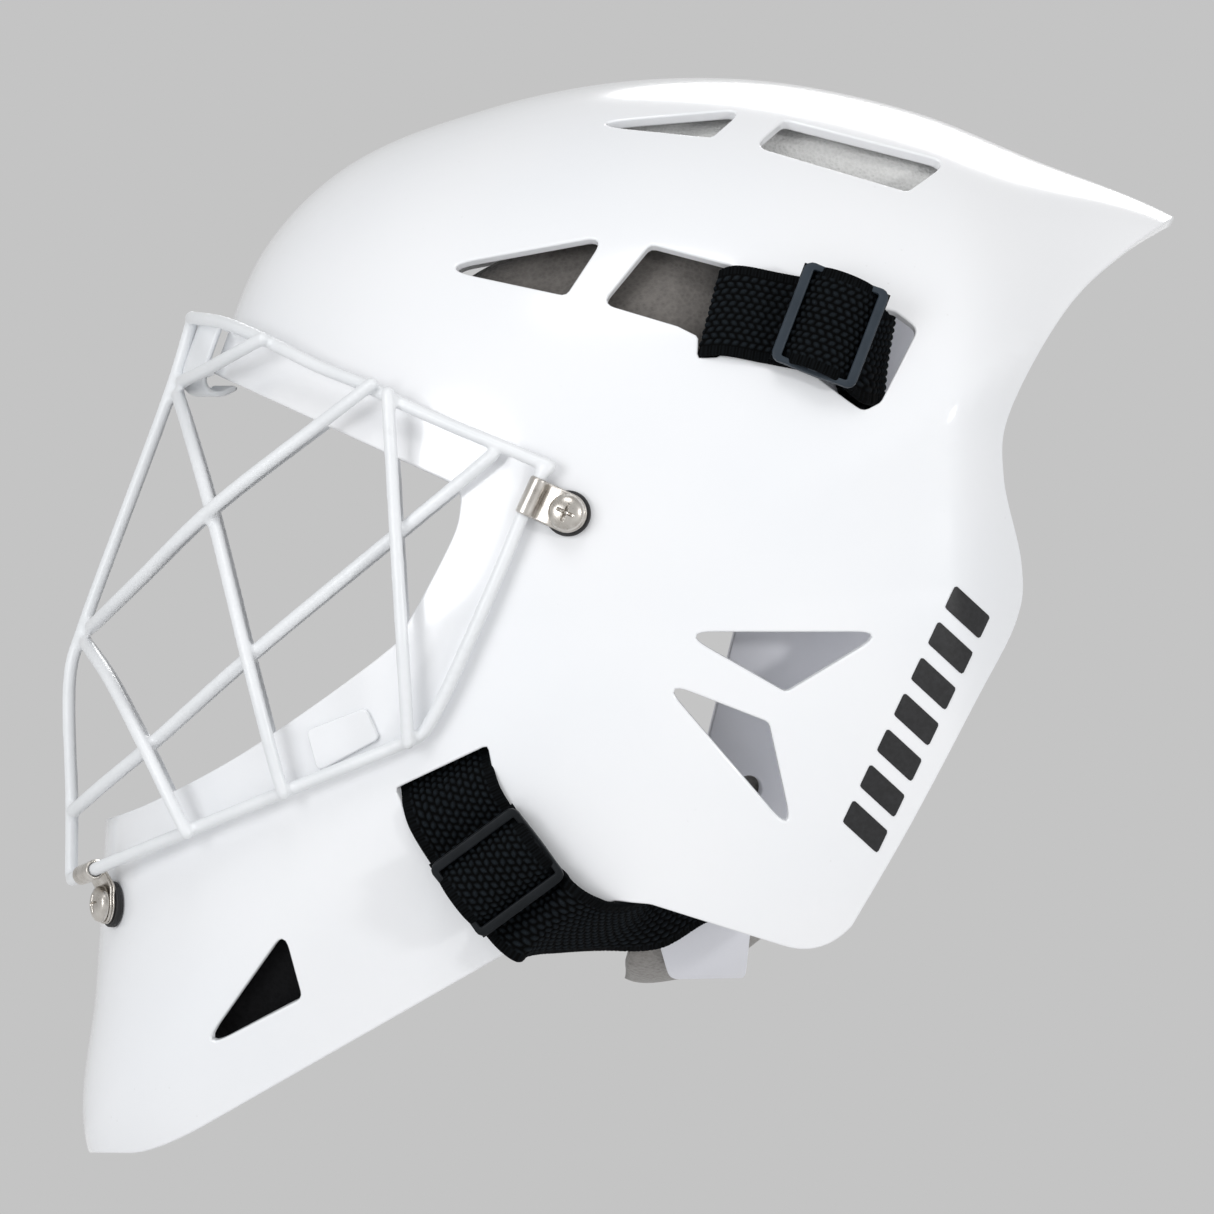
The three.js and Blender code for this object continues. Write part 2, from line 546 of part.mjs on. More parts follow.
const jawAcross = new THREE.Vector3(0.906, 0, 0.423);
const jawSlideAcross = new THREE.Vector3(0.84, 0, 0.54);
const lowerStations = [
  station(domes.shell, [-58.2, 125.4], INSIDE - 0.8, jawAcross),
  station(domes.shell, [-53.3, 114.6], INSIDE - 1.2, jawAcross),
  station(domes.shell, [-51.3, 110.2], -WALL - 1.9, jawAcross),
  station(domes.shell, [-49.3, 106], -0.6, jawAcross),
  station(domes.shell, [-47.3, 101.8], OUTSIDE, jawAcross),
  station(domes.shell, [-41.4, 92], OUTSIDE, jawSlideAcross),
  station(domes.shell, [-34.6, 82.4], OUTSIDE + 0.1, jawSlideAcross),
  station(domes.shell, [-28.4, 74.8], OUTSIDE + 0.2, new THREE.Vector3(0.8, 0, 0.6)),
  { point: new THREE.Vector3(-21.4, -98.2, 68), across: new THREE.Vector3(0.75, -0.28, 0.6) },
  { point: new THREE.Vector3(-12.2, -90, 64.8), across: new THREE.Vector3(0.52, -0.7, 0.49) },
  { point: new THREE.Vector3(1, -80.6, 66), across: new THREE.Vector3(0.25, -0.84, 0.47) },
  { point: new THREE.Vector3(11.8, -75, 71.4), across: new THREE.Vector3(0, -0.62, 0.78) },
  station(domes.plate, [22.5, 79.3], PLATE_LIFT + 1, new THREE.Vector3(-0.15, -0.3, 0.93)),
  station(domes.plate, [31, 81.5], PLATE_LIFT, new THREE.Vector3(-0.15, -0.3, 0.93)),
  station(domes.plate, [39, 83.5], PLATE_LIFT, new THREE.Vector3(-0.15, -0.3, 0.93)),
];
const LOWER_RIVET = [35.5, 82.6];

// A slide's frame lies over its strap; the loop of strap goes over its middle bar.
// It leans from the surface's normal towards straight sideways.
const SLIDE_LEAN = new THREE.Vector3(0, -0.8, 0);
function slideSeat({ slide: [x, z], direction, lift }) {
  const { point, normal } = onDome(domes.shell, x, z, lift);
  return seat({ point, normal: normal.add(SLIDE_LEAN).normalize() }, direction);
}
function slideGeometry(frame) {
  const { length, width, bar, thickness } = SLIDE;
  const rectangle = (x0, x1, y) => rounded([[x0, -y], [x1, -y], [x1, y], [x0, y]], 1.5);
  const outline = rectangle(-length / 2, length / 2, width / 2);
  const inner = length / 2 - bar;
  for (const side of [-1, 1]) {
    const [near, far] = [side * (bar / 2), side * inner];
    outline.holes.push(rectangle(Math.min(near, far), Math.max(near, far), width / 2 - 1.05));
  }
  return new THREE.ExtrudeGeometry(outline, { depth: thickness, bevelEnabled: false, curveSegments: 2 })
    .translate(0, 0, SLIDE_LIFT).applyMatrix4(frame);
}

function loopGeometry(frame) {
  const under = SLIDE_LIFT - HALF - 0.25;
  const over = SLIDE_LIFT + SLIDE.thickness + HALF + 0.3;
  const profile = [[-12.6, under], [-9.4, under], [-1.9, over], [1.9, over], [9.4, under], [12.6, under]];
  const across = new THREE.Vector3(0, 1, 0).transformDirection(frame);
  return ribbon(
    profile.map(([x, z]) => ({ point: new THREE.Vector3(x, 0, z).applyMatrix4(frame), across })), 14,
  );
}

// ---------------------------------------------------------------- back plate
const plateOutline = rounded(
  [[33.3, 151], [25.5, 118.9], [11, 62, 6], [15, 48.7, 3], [42, 48.7, 5], [125, 110], [130, 250], [78, 251, 12],
    [54, 222, 12], [46, 180, 14]], 5,
);
const rivetSeats = {
  upper: seat(onDome(domes.plate, ...UPPER_RIVET, -PLATE_TRAVEL_CLEAR), new THREE.Vector3(1, 0, 0)),
  lower: seat(onDome(domes.plate, ...LOWER_RIVET, -PLATE_TRAVEL_CLEAR), new THREE.Vector3(1, 0, 0)),
};
const vacantHole = seat(onDome(domes.plate, 38, 105, -PLATE_TRAVEL_CLEAR), new THREE.Vector3(1, 0, 0));
const rivetDrills = Object.values(rivetSeats).flatMap((frame) => [
  drill(RIVET.shank + 2 * GAP, 8, frame),
  drill(RIVET.shank + 2 * GAP, 8, rightOf(frame)),
]);
const plateSolid = cut(
  layer(domes.plate, PLATE_TRAVEL_CLEAR, PLATE_TRAVEL_CLEAR + PLATE_WALL, acrossPrism(plateOutline), 32, 12),
  ...rivetDrills,
  drill(8, 8, vacantHole),
  drill(8, 8, rightOf(vacantHole)),
);
const platePads = {
  outer: PLATE_TRAVEL_CLEAR + PLATE_WALL + 1.6,
  inner: PLATE_TRAVEL_CLEAR + PLATE_WALL + 12,
};
const rivetGeometry = (frame, base) => turned([
  [0, -PLATE_WALL - 0.6], [RIVET.shank / 2, -PLATE_WALL - 0.6], [RIVET.shank / 2, base],
  [RIVET.head / 2, base], [RIVET.head / 2, base + 0.5],
  [RIVET.head / 3, base + RIVET.headHeight - 0.4], [0, base + RIVET.headHeight],
], 14).applyMatrix4(frame);

// ---------------------------------------------------------------- brow bracket
// A bent sheet behind the cage's top, whose lower lip hooks back under the brow's edge.
const BRACKET_HALF_WIDTH = 13;
function bracketGeometry() {
  const profile = new THREE.Shape();
  profile.moveTo(-118.6, 239.5);
  profile.lineTo(-124, 226.4);
  profile.quadraticCurveTo(-125.4, 219.9, -121.2, 219.6);
  profile.lineTo(-114.8, 220.9);
  profile.lineTo(-115.1, 222.4);
  profile.lineTo(-121, 221.3);
  profile.quadraticCurveTo(-123.3, 221.4, -122.5, 226);
  profile.lineTo(-117.1, 239);
  return profile;
}

// ---------------------------------------------------------------- assembly
const part = new THREE.Group();
function place(name, geometry, material) {
  const mesh = new THREE.Mesh(geometry, material.clone());
  mesh.name = name;
  part.add(mesh);
}
function placePair(name, geometry, material) {
  place(name + "_left", geometry, material);
  place(name + "_right", mirrored(geometry), material);
}

place("shell", toGeometry(shellSolid), FINISH.shell);

place("crown_pad", toGeometry(crownPad), FINISH.felt);
place("brow_pad", toGeometry(browPad), FINISH.darkFoam);
for (const [name, { top = PAD_TOP, depth, outline, material }] of Object.entries(SIDE_PADS)) {
  const prism = acrossPrism(outline, -200, -5);
  placePair(name, toGeometry(layer(domes.shell, top, top + depth, prism)), material);
}

// The top wire and the centre wire are welded into one.
const topWire = wireGeometry(bothSides(wirePoints(TOP_WIRE, "centre", 16)), 44);
const centreWire = wireGeometry(CENTRE_WIRE.map(([x, z]) => new THREE.Vector3(x, 0, z)), 14);
place("cage_top_wire", toGeometry(toSolid(topWire).add(toSolid(centreWire))), FINISH.cage);
place("cage_lower_wire", wireGeometry(bothSides(wirePoints(LOWER_WIRE, "centre", 24)), 64), FINISH.cage);
for (const [name, { route, ends }] of Object.entries(BARS)) {
  const points = wirePoints(route, ends, 12);
  const last = points.at(-1);
  if (ends === "centre") last.y = -WIRE / 2 - GAP - 0.2;
  placePair("cage_" + name, wireGeometry(points, 14), FINISH.cage);
}

const wireInSeat = (frame, dome, [x, z]) => {
  const local = new THREE.Vector3(x, -halfWidthAt(dome, x, z), z).applyMatrix4(frame.clone().invert());
  return [local.x, local.z];
};
const hardware = [
  ["temple", templeSeat, wireInSeat(templeSeat, domes.cage, TEMPLE.wire)],
  ["chin", chinSeat, wireInSeat(chinSeat, domes.cage, CHIN.wire)],
];
for (const [where, frame, wireAt] of hardware) {
  const finishes = { clip: "steel", screw: "steel", washer: "rubber", nut: "steel" };
  for (const [piece, geometry] of Object.entries(clipSet(wireAt))) {
    placePair(where + "_" + piece, geometry.applyMatrix4(frame), FINISH[finishes[piece]]);
  }
}

place("back_plate", toGeometry(plateSolid), FINISH.plate);
const plateLayer = (prism) => toGeometry(layer(domes.plate, platePads.outer, platePads.inner, prism, 28, 12));
place(
  "back_plate_pad",
  plateLayer(acrossPrism(rounded([[84, 150], [140, 150], [140, 240], [80, 240], [76, 190]], 5), -46, 46)),
  FINISH.greyFoam,
);
const neckOutline = rounded(
  [[32, 138], [26, 110], [0, 61], [-1, 49.4, 2], [41, 50.4], [78, 112], [72, 138]], 4,
);
placePair(
  "neck_pad",
  plateLayer(acrossPrism(neckOutline, -200, -8)),
  FINISH.greyFoam,
);

const strapDrill = (frame) => drill(RIVET.shank + 2 * GAP, 8, frame);
const straps = [
  ["upper", upperStations, UPPER_RUN, rivetSeats.upper],
  ["lower", lowerStations, LOWER_RUN, rivetSeats.lower],
];
for (const [name, stations, run, rivetSeat] of straps) {
  const strap = toSolid(ribbon(stations, 34)).subtract(strapDrill(rivetSeat));
  placePair(name + "_strap", toGeometry(strap), FINISH.webbing);
  placePair(name + "_slide", slideGeometry(slideSeat(run)), FINISH.slide);
  placePair(name + "_strap_loop", loopGeometry(slideSeat(run)), FINISH.webbing);
  placePair(name + "_rivet", rivetGeometry(rivetSeat, STRAP_THICKNESS + 4 * GAP), FINISH.steel);
}

place(
  "brow_bracket",
  toGeometry(acrossPrism(bracketGeometry(), -BRACKET_HALF_WIDTH, BRACKET_HALF_WIDTH, 4)), FINISH.cage,
);

export default part;
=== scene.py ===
"""Street-hockey goalie mask: moulded shell, welded wire cage on P-clips, foam padding, and a back plate
hung in the open rear on four elastic straps with slides. Shapes are worked out in millimetres in the side
view (x, z) and put into the meshes in metres: +Z up, -X where the wearer looks, -Y the wearer's left."""
import math

import bpy
import numpy as np
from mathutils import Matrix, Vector
from mathutils.geometry import delaunay_2d_cdt


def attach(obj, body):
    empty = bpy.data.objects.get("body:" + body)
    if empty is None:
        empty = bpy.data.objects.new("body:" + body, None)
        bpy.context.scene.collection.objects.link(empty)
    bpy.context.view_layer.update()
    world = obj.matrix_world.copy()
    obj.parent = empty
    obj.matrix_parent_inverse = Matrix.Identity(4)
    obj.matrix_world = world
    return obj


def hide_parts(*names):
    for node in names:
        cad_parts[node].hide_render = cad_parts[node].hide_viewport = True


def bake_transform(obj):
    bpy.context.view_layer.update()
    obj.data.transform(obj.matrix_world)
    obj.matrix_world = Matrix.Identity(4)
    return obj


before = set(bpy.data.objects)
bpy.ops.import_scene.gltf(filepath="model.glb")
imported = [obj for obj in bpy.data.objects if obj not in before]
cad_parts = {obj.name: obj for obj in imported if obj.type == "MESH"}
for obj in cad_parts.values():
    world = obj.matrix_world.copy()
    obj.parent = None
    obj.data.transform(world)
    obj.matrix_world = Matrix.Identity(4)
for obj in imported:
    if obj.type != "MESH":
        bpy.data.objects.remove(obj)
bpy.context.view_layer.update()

MM = 0.001
WALL = 3.2
WIRE = 3.8
WELD_LAYER = 3.5  # from one crossing wire's middle to the next, a little less than a wire, so that they weld
STRAP_WIDTH = 28.4
STRAP_THICKNESS = 2.0
SLIDE_LIFT = 6.0
SLIDE_THICKNESS = 2.4
BODY = "shell_body"
PLATE_BODY = "back_plate_body"


# ---------------------------------------------------------------- numbers and curves
def ease(t):
    """0 below 0, 1 above 1, and 3t^2 - 2t^3 between."""
    t = np.clip(t, 0.0, 1.0)
    return t * t * (3 - 2 * t)


def unit(vectors):
    return vectors / np.maximum(np.linalg.norm(vectors, axis=-1, keepdims=True), 1e-12)


def full_turn(count):
    """Angles evenly spread round a circle."""
    return np.linspace(0, 2 * np.pi, count, endpoint=False)


def run_along(points):
    """The distance along a path at each of its points."""
    return np.concatenate([[0], np.cumsum(np.linalg.norm(np.diff(points, axis=0), axis=1))])


def curve_through(points, count, even=True):
    """A centripetal cubic through points of any number of values, the first three being its place: each
    piece is the Barry-Goldman pyramid on knots that grow with the square root of the distance. The
    samples are an even distance apart, or else evenly spread over the pieces."""
    points = np.asarray(points, float)
    points = np.vstack([2 * points[0] - points[1], points, 2 * points[-1] - points[-2]])
    knots = np.concatenate([[0], np.cumsum(np.sqrt(np.linalg.norm(np.diff(points[:, :3], axis=0), axis=1)))])

    def sample(t):
        i = np.clip(np.searchsorted(knots, t, side="right") - 1, 1, len(points) - 3)
        k = [knots[i + j][:, None] for j in (-1, 0, 1, 2)]
        p = [points[i + j] for j in (-1, 0, 1, 2)]
        t = t[:, None]
        row = [((k[j + 1] - t) * p[j] + (t - k[j]) * p[j + 1]) / (k[j + 1] - k[j]) for j in range(3)]
        pair = [((k[j + 2] - t) * row[j] + (t - k[j]) * row[j + 1]) / (k[j + 2] - k[j]) for j in range(2)]
        return ((k[2] - t) * pair[0] + (t - k[1]) * pair[1]) / (k[2] - k[1])

    dense = np.linspace(knots[1], knots[-2], 1500)
    if even:
        run = run_along(sample(dense)[:, :3])
        dense = np.interp(np.linspace(0, run[-1], count), run, dense)
    else:
        dense = np.interp(np.linspace(0, 1, count), np.linspace(0, 1, len(knots) - 2), knots[1:-1])
    return sample(dense)


def bend(start, control, end, count=12):
    """A quadratic Bezier curve."""
    t = np.linspace(0, 1, count)[:, None]
    return (1 - t) ** 2 * np.array(start) + 2 * t * (1 - t) * np.array(control) + t**2 * np.array(end)


def spline_2d(points, count=14):
    """A uniform Catmull-Rom curve through points, each end's outer neighbour being the end itself."""
    p = np.array([points[0], *points, points[-1]], float)
    t = np.linspace(0, 1, count, endpoint=False)[None, :, None]
    p0, p1, p2, p3 = (p[i : len(p) - 3 + i, None, :] for i in range(4))
    v0, v1 = (p2 - p0) / 2, (p3 - p1) / 2
    pieces = (2 * p1 - 2 * p2 + v0 + v1) * t**3 + (-3 * p1 + 3 * p2 - 2 * v0 - v1) * t**2 + v0 * t + p1
    return np.vstack([pieces.reshape(-1, 2), p[-1]])


def rounded(points, radius=2.5):
    """A closed polygon whose corners are quadratic curves that start radius / tan(half the corner) back
    from the corner, but no further than 0.45 of the side. A point may give its own radius."""
    out = []
    for i, (x, z, *own) in enumerate(points):
        here = np.array([x, z], float)
        to_before = np.array(points[i - 1][:2]) - here
        to_after = np.array(points[(i + 1) % len(points)][:2]) - here
        before, after = np.linalg.norm(to_before), np.linalg.norm(to_after)
        half = math.acos(np.clip(to_before @ to_after / (before * after), -1, 1)) / 2
        back = min((own[0] if own else radius) / math.tan(half), before * 0.45, after * 0.45)
        out.append(bend(here + to_before / before * back, here, here + to_after / after * back))
    return np.vstack(out)


# ---------------------------------------------------------------- domes
def profile_radius(profile, degrees):
    """Radius at each angle: a periodic cubic whose slope at a point is that from the point before it to
    the point after it."""
    table = np.array(profile, float)
    turns = np.vstack([table + [360 * k, 0] for k in (-1, 0, 1)])
    angle = table[0, 0] + (degrees - table[0, 0]) % 360
    i = np.searchsorted(turns[:, 0], angle, side="right") - 1
    (a0, r0), (a1, r1), (a2, r2), (a3, r3) = (np.moveaxis(turns[i + k], -1, 0) for k in (-1, 0, 1, 2))
    span = a2 - a1
    t = (angle - a1) / span
    slope1, slope2 = (r2 - r0) / (a2 - a0) * span, (r3 - r1) / (a3 - a1) * span
    return (
        (2 * t**3 - 3 * t**2 + 1) * r1 + (t**3 - 2 * t**2 + t) * slope1
        + (3 * t**2 - 2 * t**3) * r2 + (t**3 - t**2) * slope2
    )


def mask_taper(x, z):
    """How much narrower than its full width the mask is: 45% at the tail's end, and below z 170 by 12% at
    the rear to 30% at the front."""
    tail = 1 - 0.45 * ease((x - 95) / 65)
    narrowing = 0.12 + 0.18 * ease((20 - x) / 120)
    return tail * (1 - narrowing * ease((170 - z) / 170))


class Dome:
    """Half a mask as a surface over its side view: y = -W * taper * sqrt(1 - s^2.4), where s is the
    distance from the centre over the side profile's radius at that angle."""

    ROUNDNESS = 2.4

    def __init__(self, centre, profile, half_width, taper=None):
        self.centre, self.profile, self.wide = centre, profile, half_width
        self.taper = taper or (lambda x, z: np.ones_like(x))

    def fraction(self, x, z, offset=0.0):
        dx, dz = x - self.centre[0], z - self.centre[1]
        return np.hypot(dx, dz) / (profile_radius(self.profile, np.degrees(np.arctan2(dz, dx))) + offset)

    def half_width(self, x, z, offset=0.0):
        s = self.fraction(x, z, offset)
        inside = np.sqrt(np.maximum(0, 1 - s**self.ROUNDNESS))
        return (self.wide + offset) * self.taper(x, z) * inside

    def at(self, x, z, lift=0.0):
        """Points of the left side lifted along the normal, and the normals: the slope of
        s^2.4 + (y / (W * taper))^2."""
        x, z = np.atleast_1d(np.asarray(x, float)), np.atleast_1d(np.asarray(z, float))
        y = -self.half_width(x, z)
        h = 0.3  # a small step, over which the slope is taken

        def level(x, y, z):
            return self.fraction(x, z) ** self.ROUNDNESS + (y / (self.wide * self.taper(x, z))) ** 2

        slope = np.stack(
            [level(x + h, y, z) - level(x - h, y, z), level(x, y + h, z) - level(x, y - h, z),
             level(x, y, z + h) - level(x, y, z - h)], axis=-1,
        )
        normals = unit(slope)
        return np.stack([x, y, z], axis=-1) + normals * np.asarray(lift)[..., None], normals

    def chart(self, x, z):
        """The side as a disc: the same angle, and radius 2/pi * asin(s^1.2), which is 1 at the middle
        plane."""
        dx, dz = x - self.centre[0], z - self.centre[1]
        s = self.fraction(x, z)
        inside = 2 / np.pi * np.arcsin(np.minimum(1, s ** (self.ROUNDNESS / 2)))
        rho = np.where(s <= 1, inside, s)
        reach = np.maximum(np.hypot(dx, dz), 1e-9)
        return np.stack([dx / reach * rho, dz / reach * rho], axis=-1)

    def from_chart(self, uv):
        rho = np.minimum(1, np.hypot(uv[:, 0], uv[:, 1]))
        angle = np.arctan2(uv[:, 1], uv[:, 0])
        s = np.sin(np.pi / 2 * rho) ** (2 / self.ROUNDNESS)
        reach = s * profile_radius(self.profile, np.degrees(angle))
        return self.centre[0] + reach * np.cos(angle), self.centre[1] + reach * np.sin(angle)


EAR = (20, 170)
SHELL_PROFILE = [
    (-130, 248.4), (-113.5, 250.8), (-78.1, 194.2), (-52.4, 164), (-28.3, 147.6), (-3.9, 145.3),
    (11.5, 151), (23.2, 165.3), (31.5, 181.8), (35.7, 173.6), (48.9, 155.4), (62.7, 147.5),
    (76.1, 143.3), (95, 141.7), (113.9, 144.9), (131.2, 152.6), (142.8, 153.4), (157.9, 148.9),
    (180, 158), (193.5, 170.8), (206.6, 189.3), (215.7, 211.4), (223.5, 240.9),
]
CAGE_PROFILE = [
    (-60, 200), (0, 170), (60, 170), (120, 168), (140, 165.5), (153.4, 160.9), (160.7, 156.7), (172, 164),
    (186.4, 175.5), (196, 188), (207, 200.3), (216, 210), (230, 235), (260, 250),
]
PLATE_PROFILE = [
    (-120, 125), (-85.1, 101.4), (-54, 70), (-23.3, 65), (4.2, 70), (28.7, 85), (47, 104), (60, 121),
    (90, 128), (120, 120), (180, 110), (220, 118),
]
SHELL = Dome(EAR, SHELL_PROFILE, 112, mask_taper)
CAGE = Dome(EAR, CAGE_PROFILE, 116, mask_taper)
PLATE = Dome((30, 150), PLATE_PROFILE, 86)
PLATE_SURFACE = -2.0  # the plate's outer face lies this far inside its dome
PLATE_WALL = 2.6


# ---------------------------------------------------------------- meshes
def put_in_scene(name, data):
    """A new object at the origin that shows this data."""
    made = bpy.data.objects.new(name, data)
    bpy.context.scene.collection.objects.link(made)
    return made


def add_piece(name, points, faces, material, normals=None, heights=None):
    """A mesh object at the origin from points in millimetres. Faces may be several arrays. Heights are a
    knit's height at each point, which its material reads."""
    mesh = bpy.data.meshes.new(name)
    corners = [row for block in faces for row in np.asarray(block).tolist()]
    mesh.from_pydata((np.asarray(points) * MM).tolist(), [], corners)
    mesh.update()
    mesh.polygons.foreach_set("use_smooth", [True] * len(mesh.polygons))
    if normals is not None:
        mesh.normals_split_custom_set_from_vertices(np.asarray(normals).tolist())
    if heights is not None:
        mesh.attributes.new("knit", "FLOAT", "POINT").data.foreach_set("value", heights)
    piece = put_in_scene(name, mesh)
    mesh.materials.append(material)
    return piece


def settle(piece, body, slot_name, *nodes):
    """The piece rides on a body and stands for CAD nodes, which it hides; the slot name is not used."""
    if body:
        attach(piece, body)
    if nodes:
        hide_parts(*nodes)
    return piece


def grid_faces(rows, columns, closed_rows=False, closed_columns=False):
    """The four-cornered faces of a grid of points numbered row by row."""
    i, j = np.meshgrid(
        np.arange(rows if closed_rows else rows - 1), np.arange(columns if closed_columns else columns - 1),
        indexing="ij",
    )
    i, j = i.ravel(), j.ravel()
    i2, j2 = (i + 1) % rows, (j + 1) % columns
    return np.stack([i * columns + j, i2 * columns + j, i2 * columns + j2, i * columns + j2], axis=1)


def mirror_right(points, faces):
    """The same piece on the wearer's right, with its faces turned round."""
    return points * [1, -1, 1], [np.asarray(block)[:, ::-1] for block in faces]


def joined_parts(parts):
    """Several (points, faces) as one."""
    starts = np.cumsum([0] + [len(points) for points, _ in parts])
    blocks = [np.asarray(block) + start for (_, faces), start in zip(parts, starts) for block in faces]
    return np.vstack([points for points, _ in parts]), blocks


def inside_polygon(x, z, polygon):
    """Even-odd rule: how many sides of the polygon lie to the right of each point."""
    odd = np.zeros(len(x), bool)
    for (x1, z1), (x2, z2) in zip(polygon, np.roll(polygon, -1, axis=0)):
        if z1 != z2:
            odd ^= ((z1 > z) != (z2 > z)) & (x < (x2 - x1) * (z - z1) / (z2 - z1) + x1)
    return odd


def even_outline(dome, polygon, step):
    """The closed polygon with its points about a step apart, measured on the dome."""
    closed = np.vstack([polygon, polygon[:1]])
    run = run_along(closed)
    fine = np.linspace(0, run[-1], int(run[-1] / 0.1) + 8)
    x, z = (np.interp(fine, run, closed[:, k]) for k in (0, 1))
    places = np.stack([x, dome.half_width(x, z), z], axis=-1)
    length = run_along(places)
    wanted = np.linspace(0, length[-1], max(12, int(length[-1] / step)), endpoint=False)
    return np.stack([np.interp(wanted, length, x), np.interp(wanted, length, z)], axis=-1)


def moulding(dome, keep, openings, outer, inner, edge, spacing=0.021, step=1.2, joined=True):
    """A wall on a dome, with rounded rims: the part of the side inside the outline keep and outside the
    openings. The side's disc is filled with a triangular lattice tied to the outlines (a constrained
    Delaunay net), and put on the dome at the lifts outer and inner along the normals. Each rim runs from
    one face to the other through two quarter circles of radius edge. A joined wall meets its mirror
    image at the middle plane. Gives points, faces and normals."""
    outlines = [even_outline(dome, polygon, step) for polygon in [keep, *openings]]
    tied = [dome.chart(o[:, 0], o[:, 1]) for o in outlines]
    turn = full_turn(int(2 * np.pi / spacing))
    tied.append(np.stack([np.cos(turn), np.sin(turn)], axis=-1))
    rows = np.arange(-1, 1, spacing * math.sqrt(3) / 2)
    u, v = np.meshgrid(np.arange(-1, 1, spacing), rows)
    u = u + (np.arange(len(rows)) % 2)[:, None] * spacing / 2
    free = np.stack([u.ravel(), v.ravel()], axis=-1)
    free = free[np.hypot(free[:, 0], free[:, 1]) < 1 - 0.4 * spacing]
    for loop in tied[:-1]:
        for part in np.array_split(loop, max(1, len(loop) // 60)):
            low, high = part.min(0) - spacing, part.max(0) + spacing
            near = np.all((free > low) & (free < high), axis=1)
            gap = np.linalg.norm(free[near][:, None] - part[None], axis=2).min(1) if near.any() else []
            drop = np.zeros(len(free), bool)
            drop[np.flatnonzero(near)] = np.asarray(gap) < 0.55 * spacing
            free = free[~drop]
    edges, start = [], 0
    for loop in tied:
        ring = np.arange(start, start + len(loop))
        edges.append(np.stack([ring, np.roll(ring, -1)], axis=1))
        start += len(loop)
    seeds = np.vstack([*tied, free])
    found = delaunay_2d_cdt([Vector(p) for p in seeds], np.vstack(edges).tolist(), [], 0, 1e-7, False)
    chart = np.array([tuple(p) for p in found[0]])
    triangles = np.array(found[2])

    middle = chart[triangles].mean(1)
    x, z = dome.from_chart(middle)
    kept = (np.hypot(middle[:, 0], middle[:, 1]) < 1) & inside_polygon(x, z, outlines[0])
    for outline in outlines[1:]:
        kept &= ~inside_polygon(x, z, outline)
    triangles = triangles[kept]
    used, triangles = np.unique(triangles, return_inverse=True)
    triangles = triangles.reshape(-1, 3)
    chart = chart[used]
    rho = np.hypot(chart[:, 0], chart[:, 1])
    on_middle = rho > 1 - 3e-4
    chart[on_middle] /= rho[on_middle, None]
    points, normals = dome.at(*dome.from_chart(chart))
    points[on_middle, 1] = 0
    normals[on_middle] = unit(normals[on_middle] * [1, 0, 1])
    a, b, c = (points[triangles[:, k]] for k in range(3))
    facing = np.einsum("ij,ij->i", np.cross(b - a, c - a), normals[triangles[:, 0]])
    triangles = np.where(facing[:, None] < 0, triangles[:, ::-1], triangles)

    if joined:
        right = np.where(on_middle, np.arange(len(points)), len(points) + np.cumsum(~on_middle) - 1)
        flipped = right[triangles][:, ::-1]
        points = np.vstack([points, points[~on_middle] * [1, -1, 1]])
        normals = np.vstack([normals, normals[~on_middle] * [1, -1, 1]])
        triangles = np.vstack([triangles, flipped])

    count = len(points)
    sides = np.vstack([triangles[:, [0, 1]], triangles[:, [1, 2]], triangles[:, [2, 0]]])
    codes, reverse = sides[:, 0] * count + sides[:, 1], sides[:, 1] * count + sides[:, 0]
    rim = sides[~np.isin(codes, reverse)]
    after, before = np.full(count, -1), np.full(count, -1)
    after[rim[:, 0]], before[rim[:, 1]] = rim[:, 1], rim[:, 0]
    ring = rim[:, 0]
    ahead = unit(points[after[ring]] - points[ring]) + unit(points[ring] - points[before[ring]])
    outward = unit(np.cross(ahead, normals[ring]))
    number = np.full(count, -1)
    number[ring] = np.arange(len(ring))

    shifted = points.copy()
    shifted[ring] -= edge * outward
    layers = [shifted + outer * normals, shifted + inner * normals]
    layer_normals = [normals, -normals]
    faces = [triangles, triangles[:, ::-1] + count]
    angles = np.radians([30, 60, 90])
    shelf, shelf_normals = points[ring] - edge * outward, normals[ring]
    rows = [(a, outer - edge, 1) for a in angles] + [(a, inner + edge, -1) for a in angles[::-1]]
    upper = ring
    base = 2 * count
    for angle, level, sign in rows:
        direction = math.sin(angle) * outward + sign * math.cos(angle) * shelf_normals
        layers.append(shelf + level * shelf_normals + edge * direction)
        layer_normals.append(direction)
        lower = base + np.arange(len(ring))
        faces.append(rim_band(upper, lower, number[after[ring]]))
        upper, base = lower, base + len(ring)
    faces.append(rim_band(upper, ring + count, number[after[ring]]))
    return np.vstack(layers), faces, np.vstack(layer_normals)


def rim_band(upper, lower, following):
    """Faces between two rings of the same length, where following gives each point's next one."""
    return np.stack([upper[following], upper, lower, lower[following]], axis=1)


def mirrored_moulding(points, faces, normals):
    """A moulding of the left side on the right side."""
    right_points, right_faces = mirror_right(points, faces)
    return right_points, right_faces, normals * [1, -1, 1]


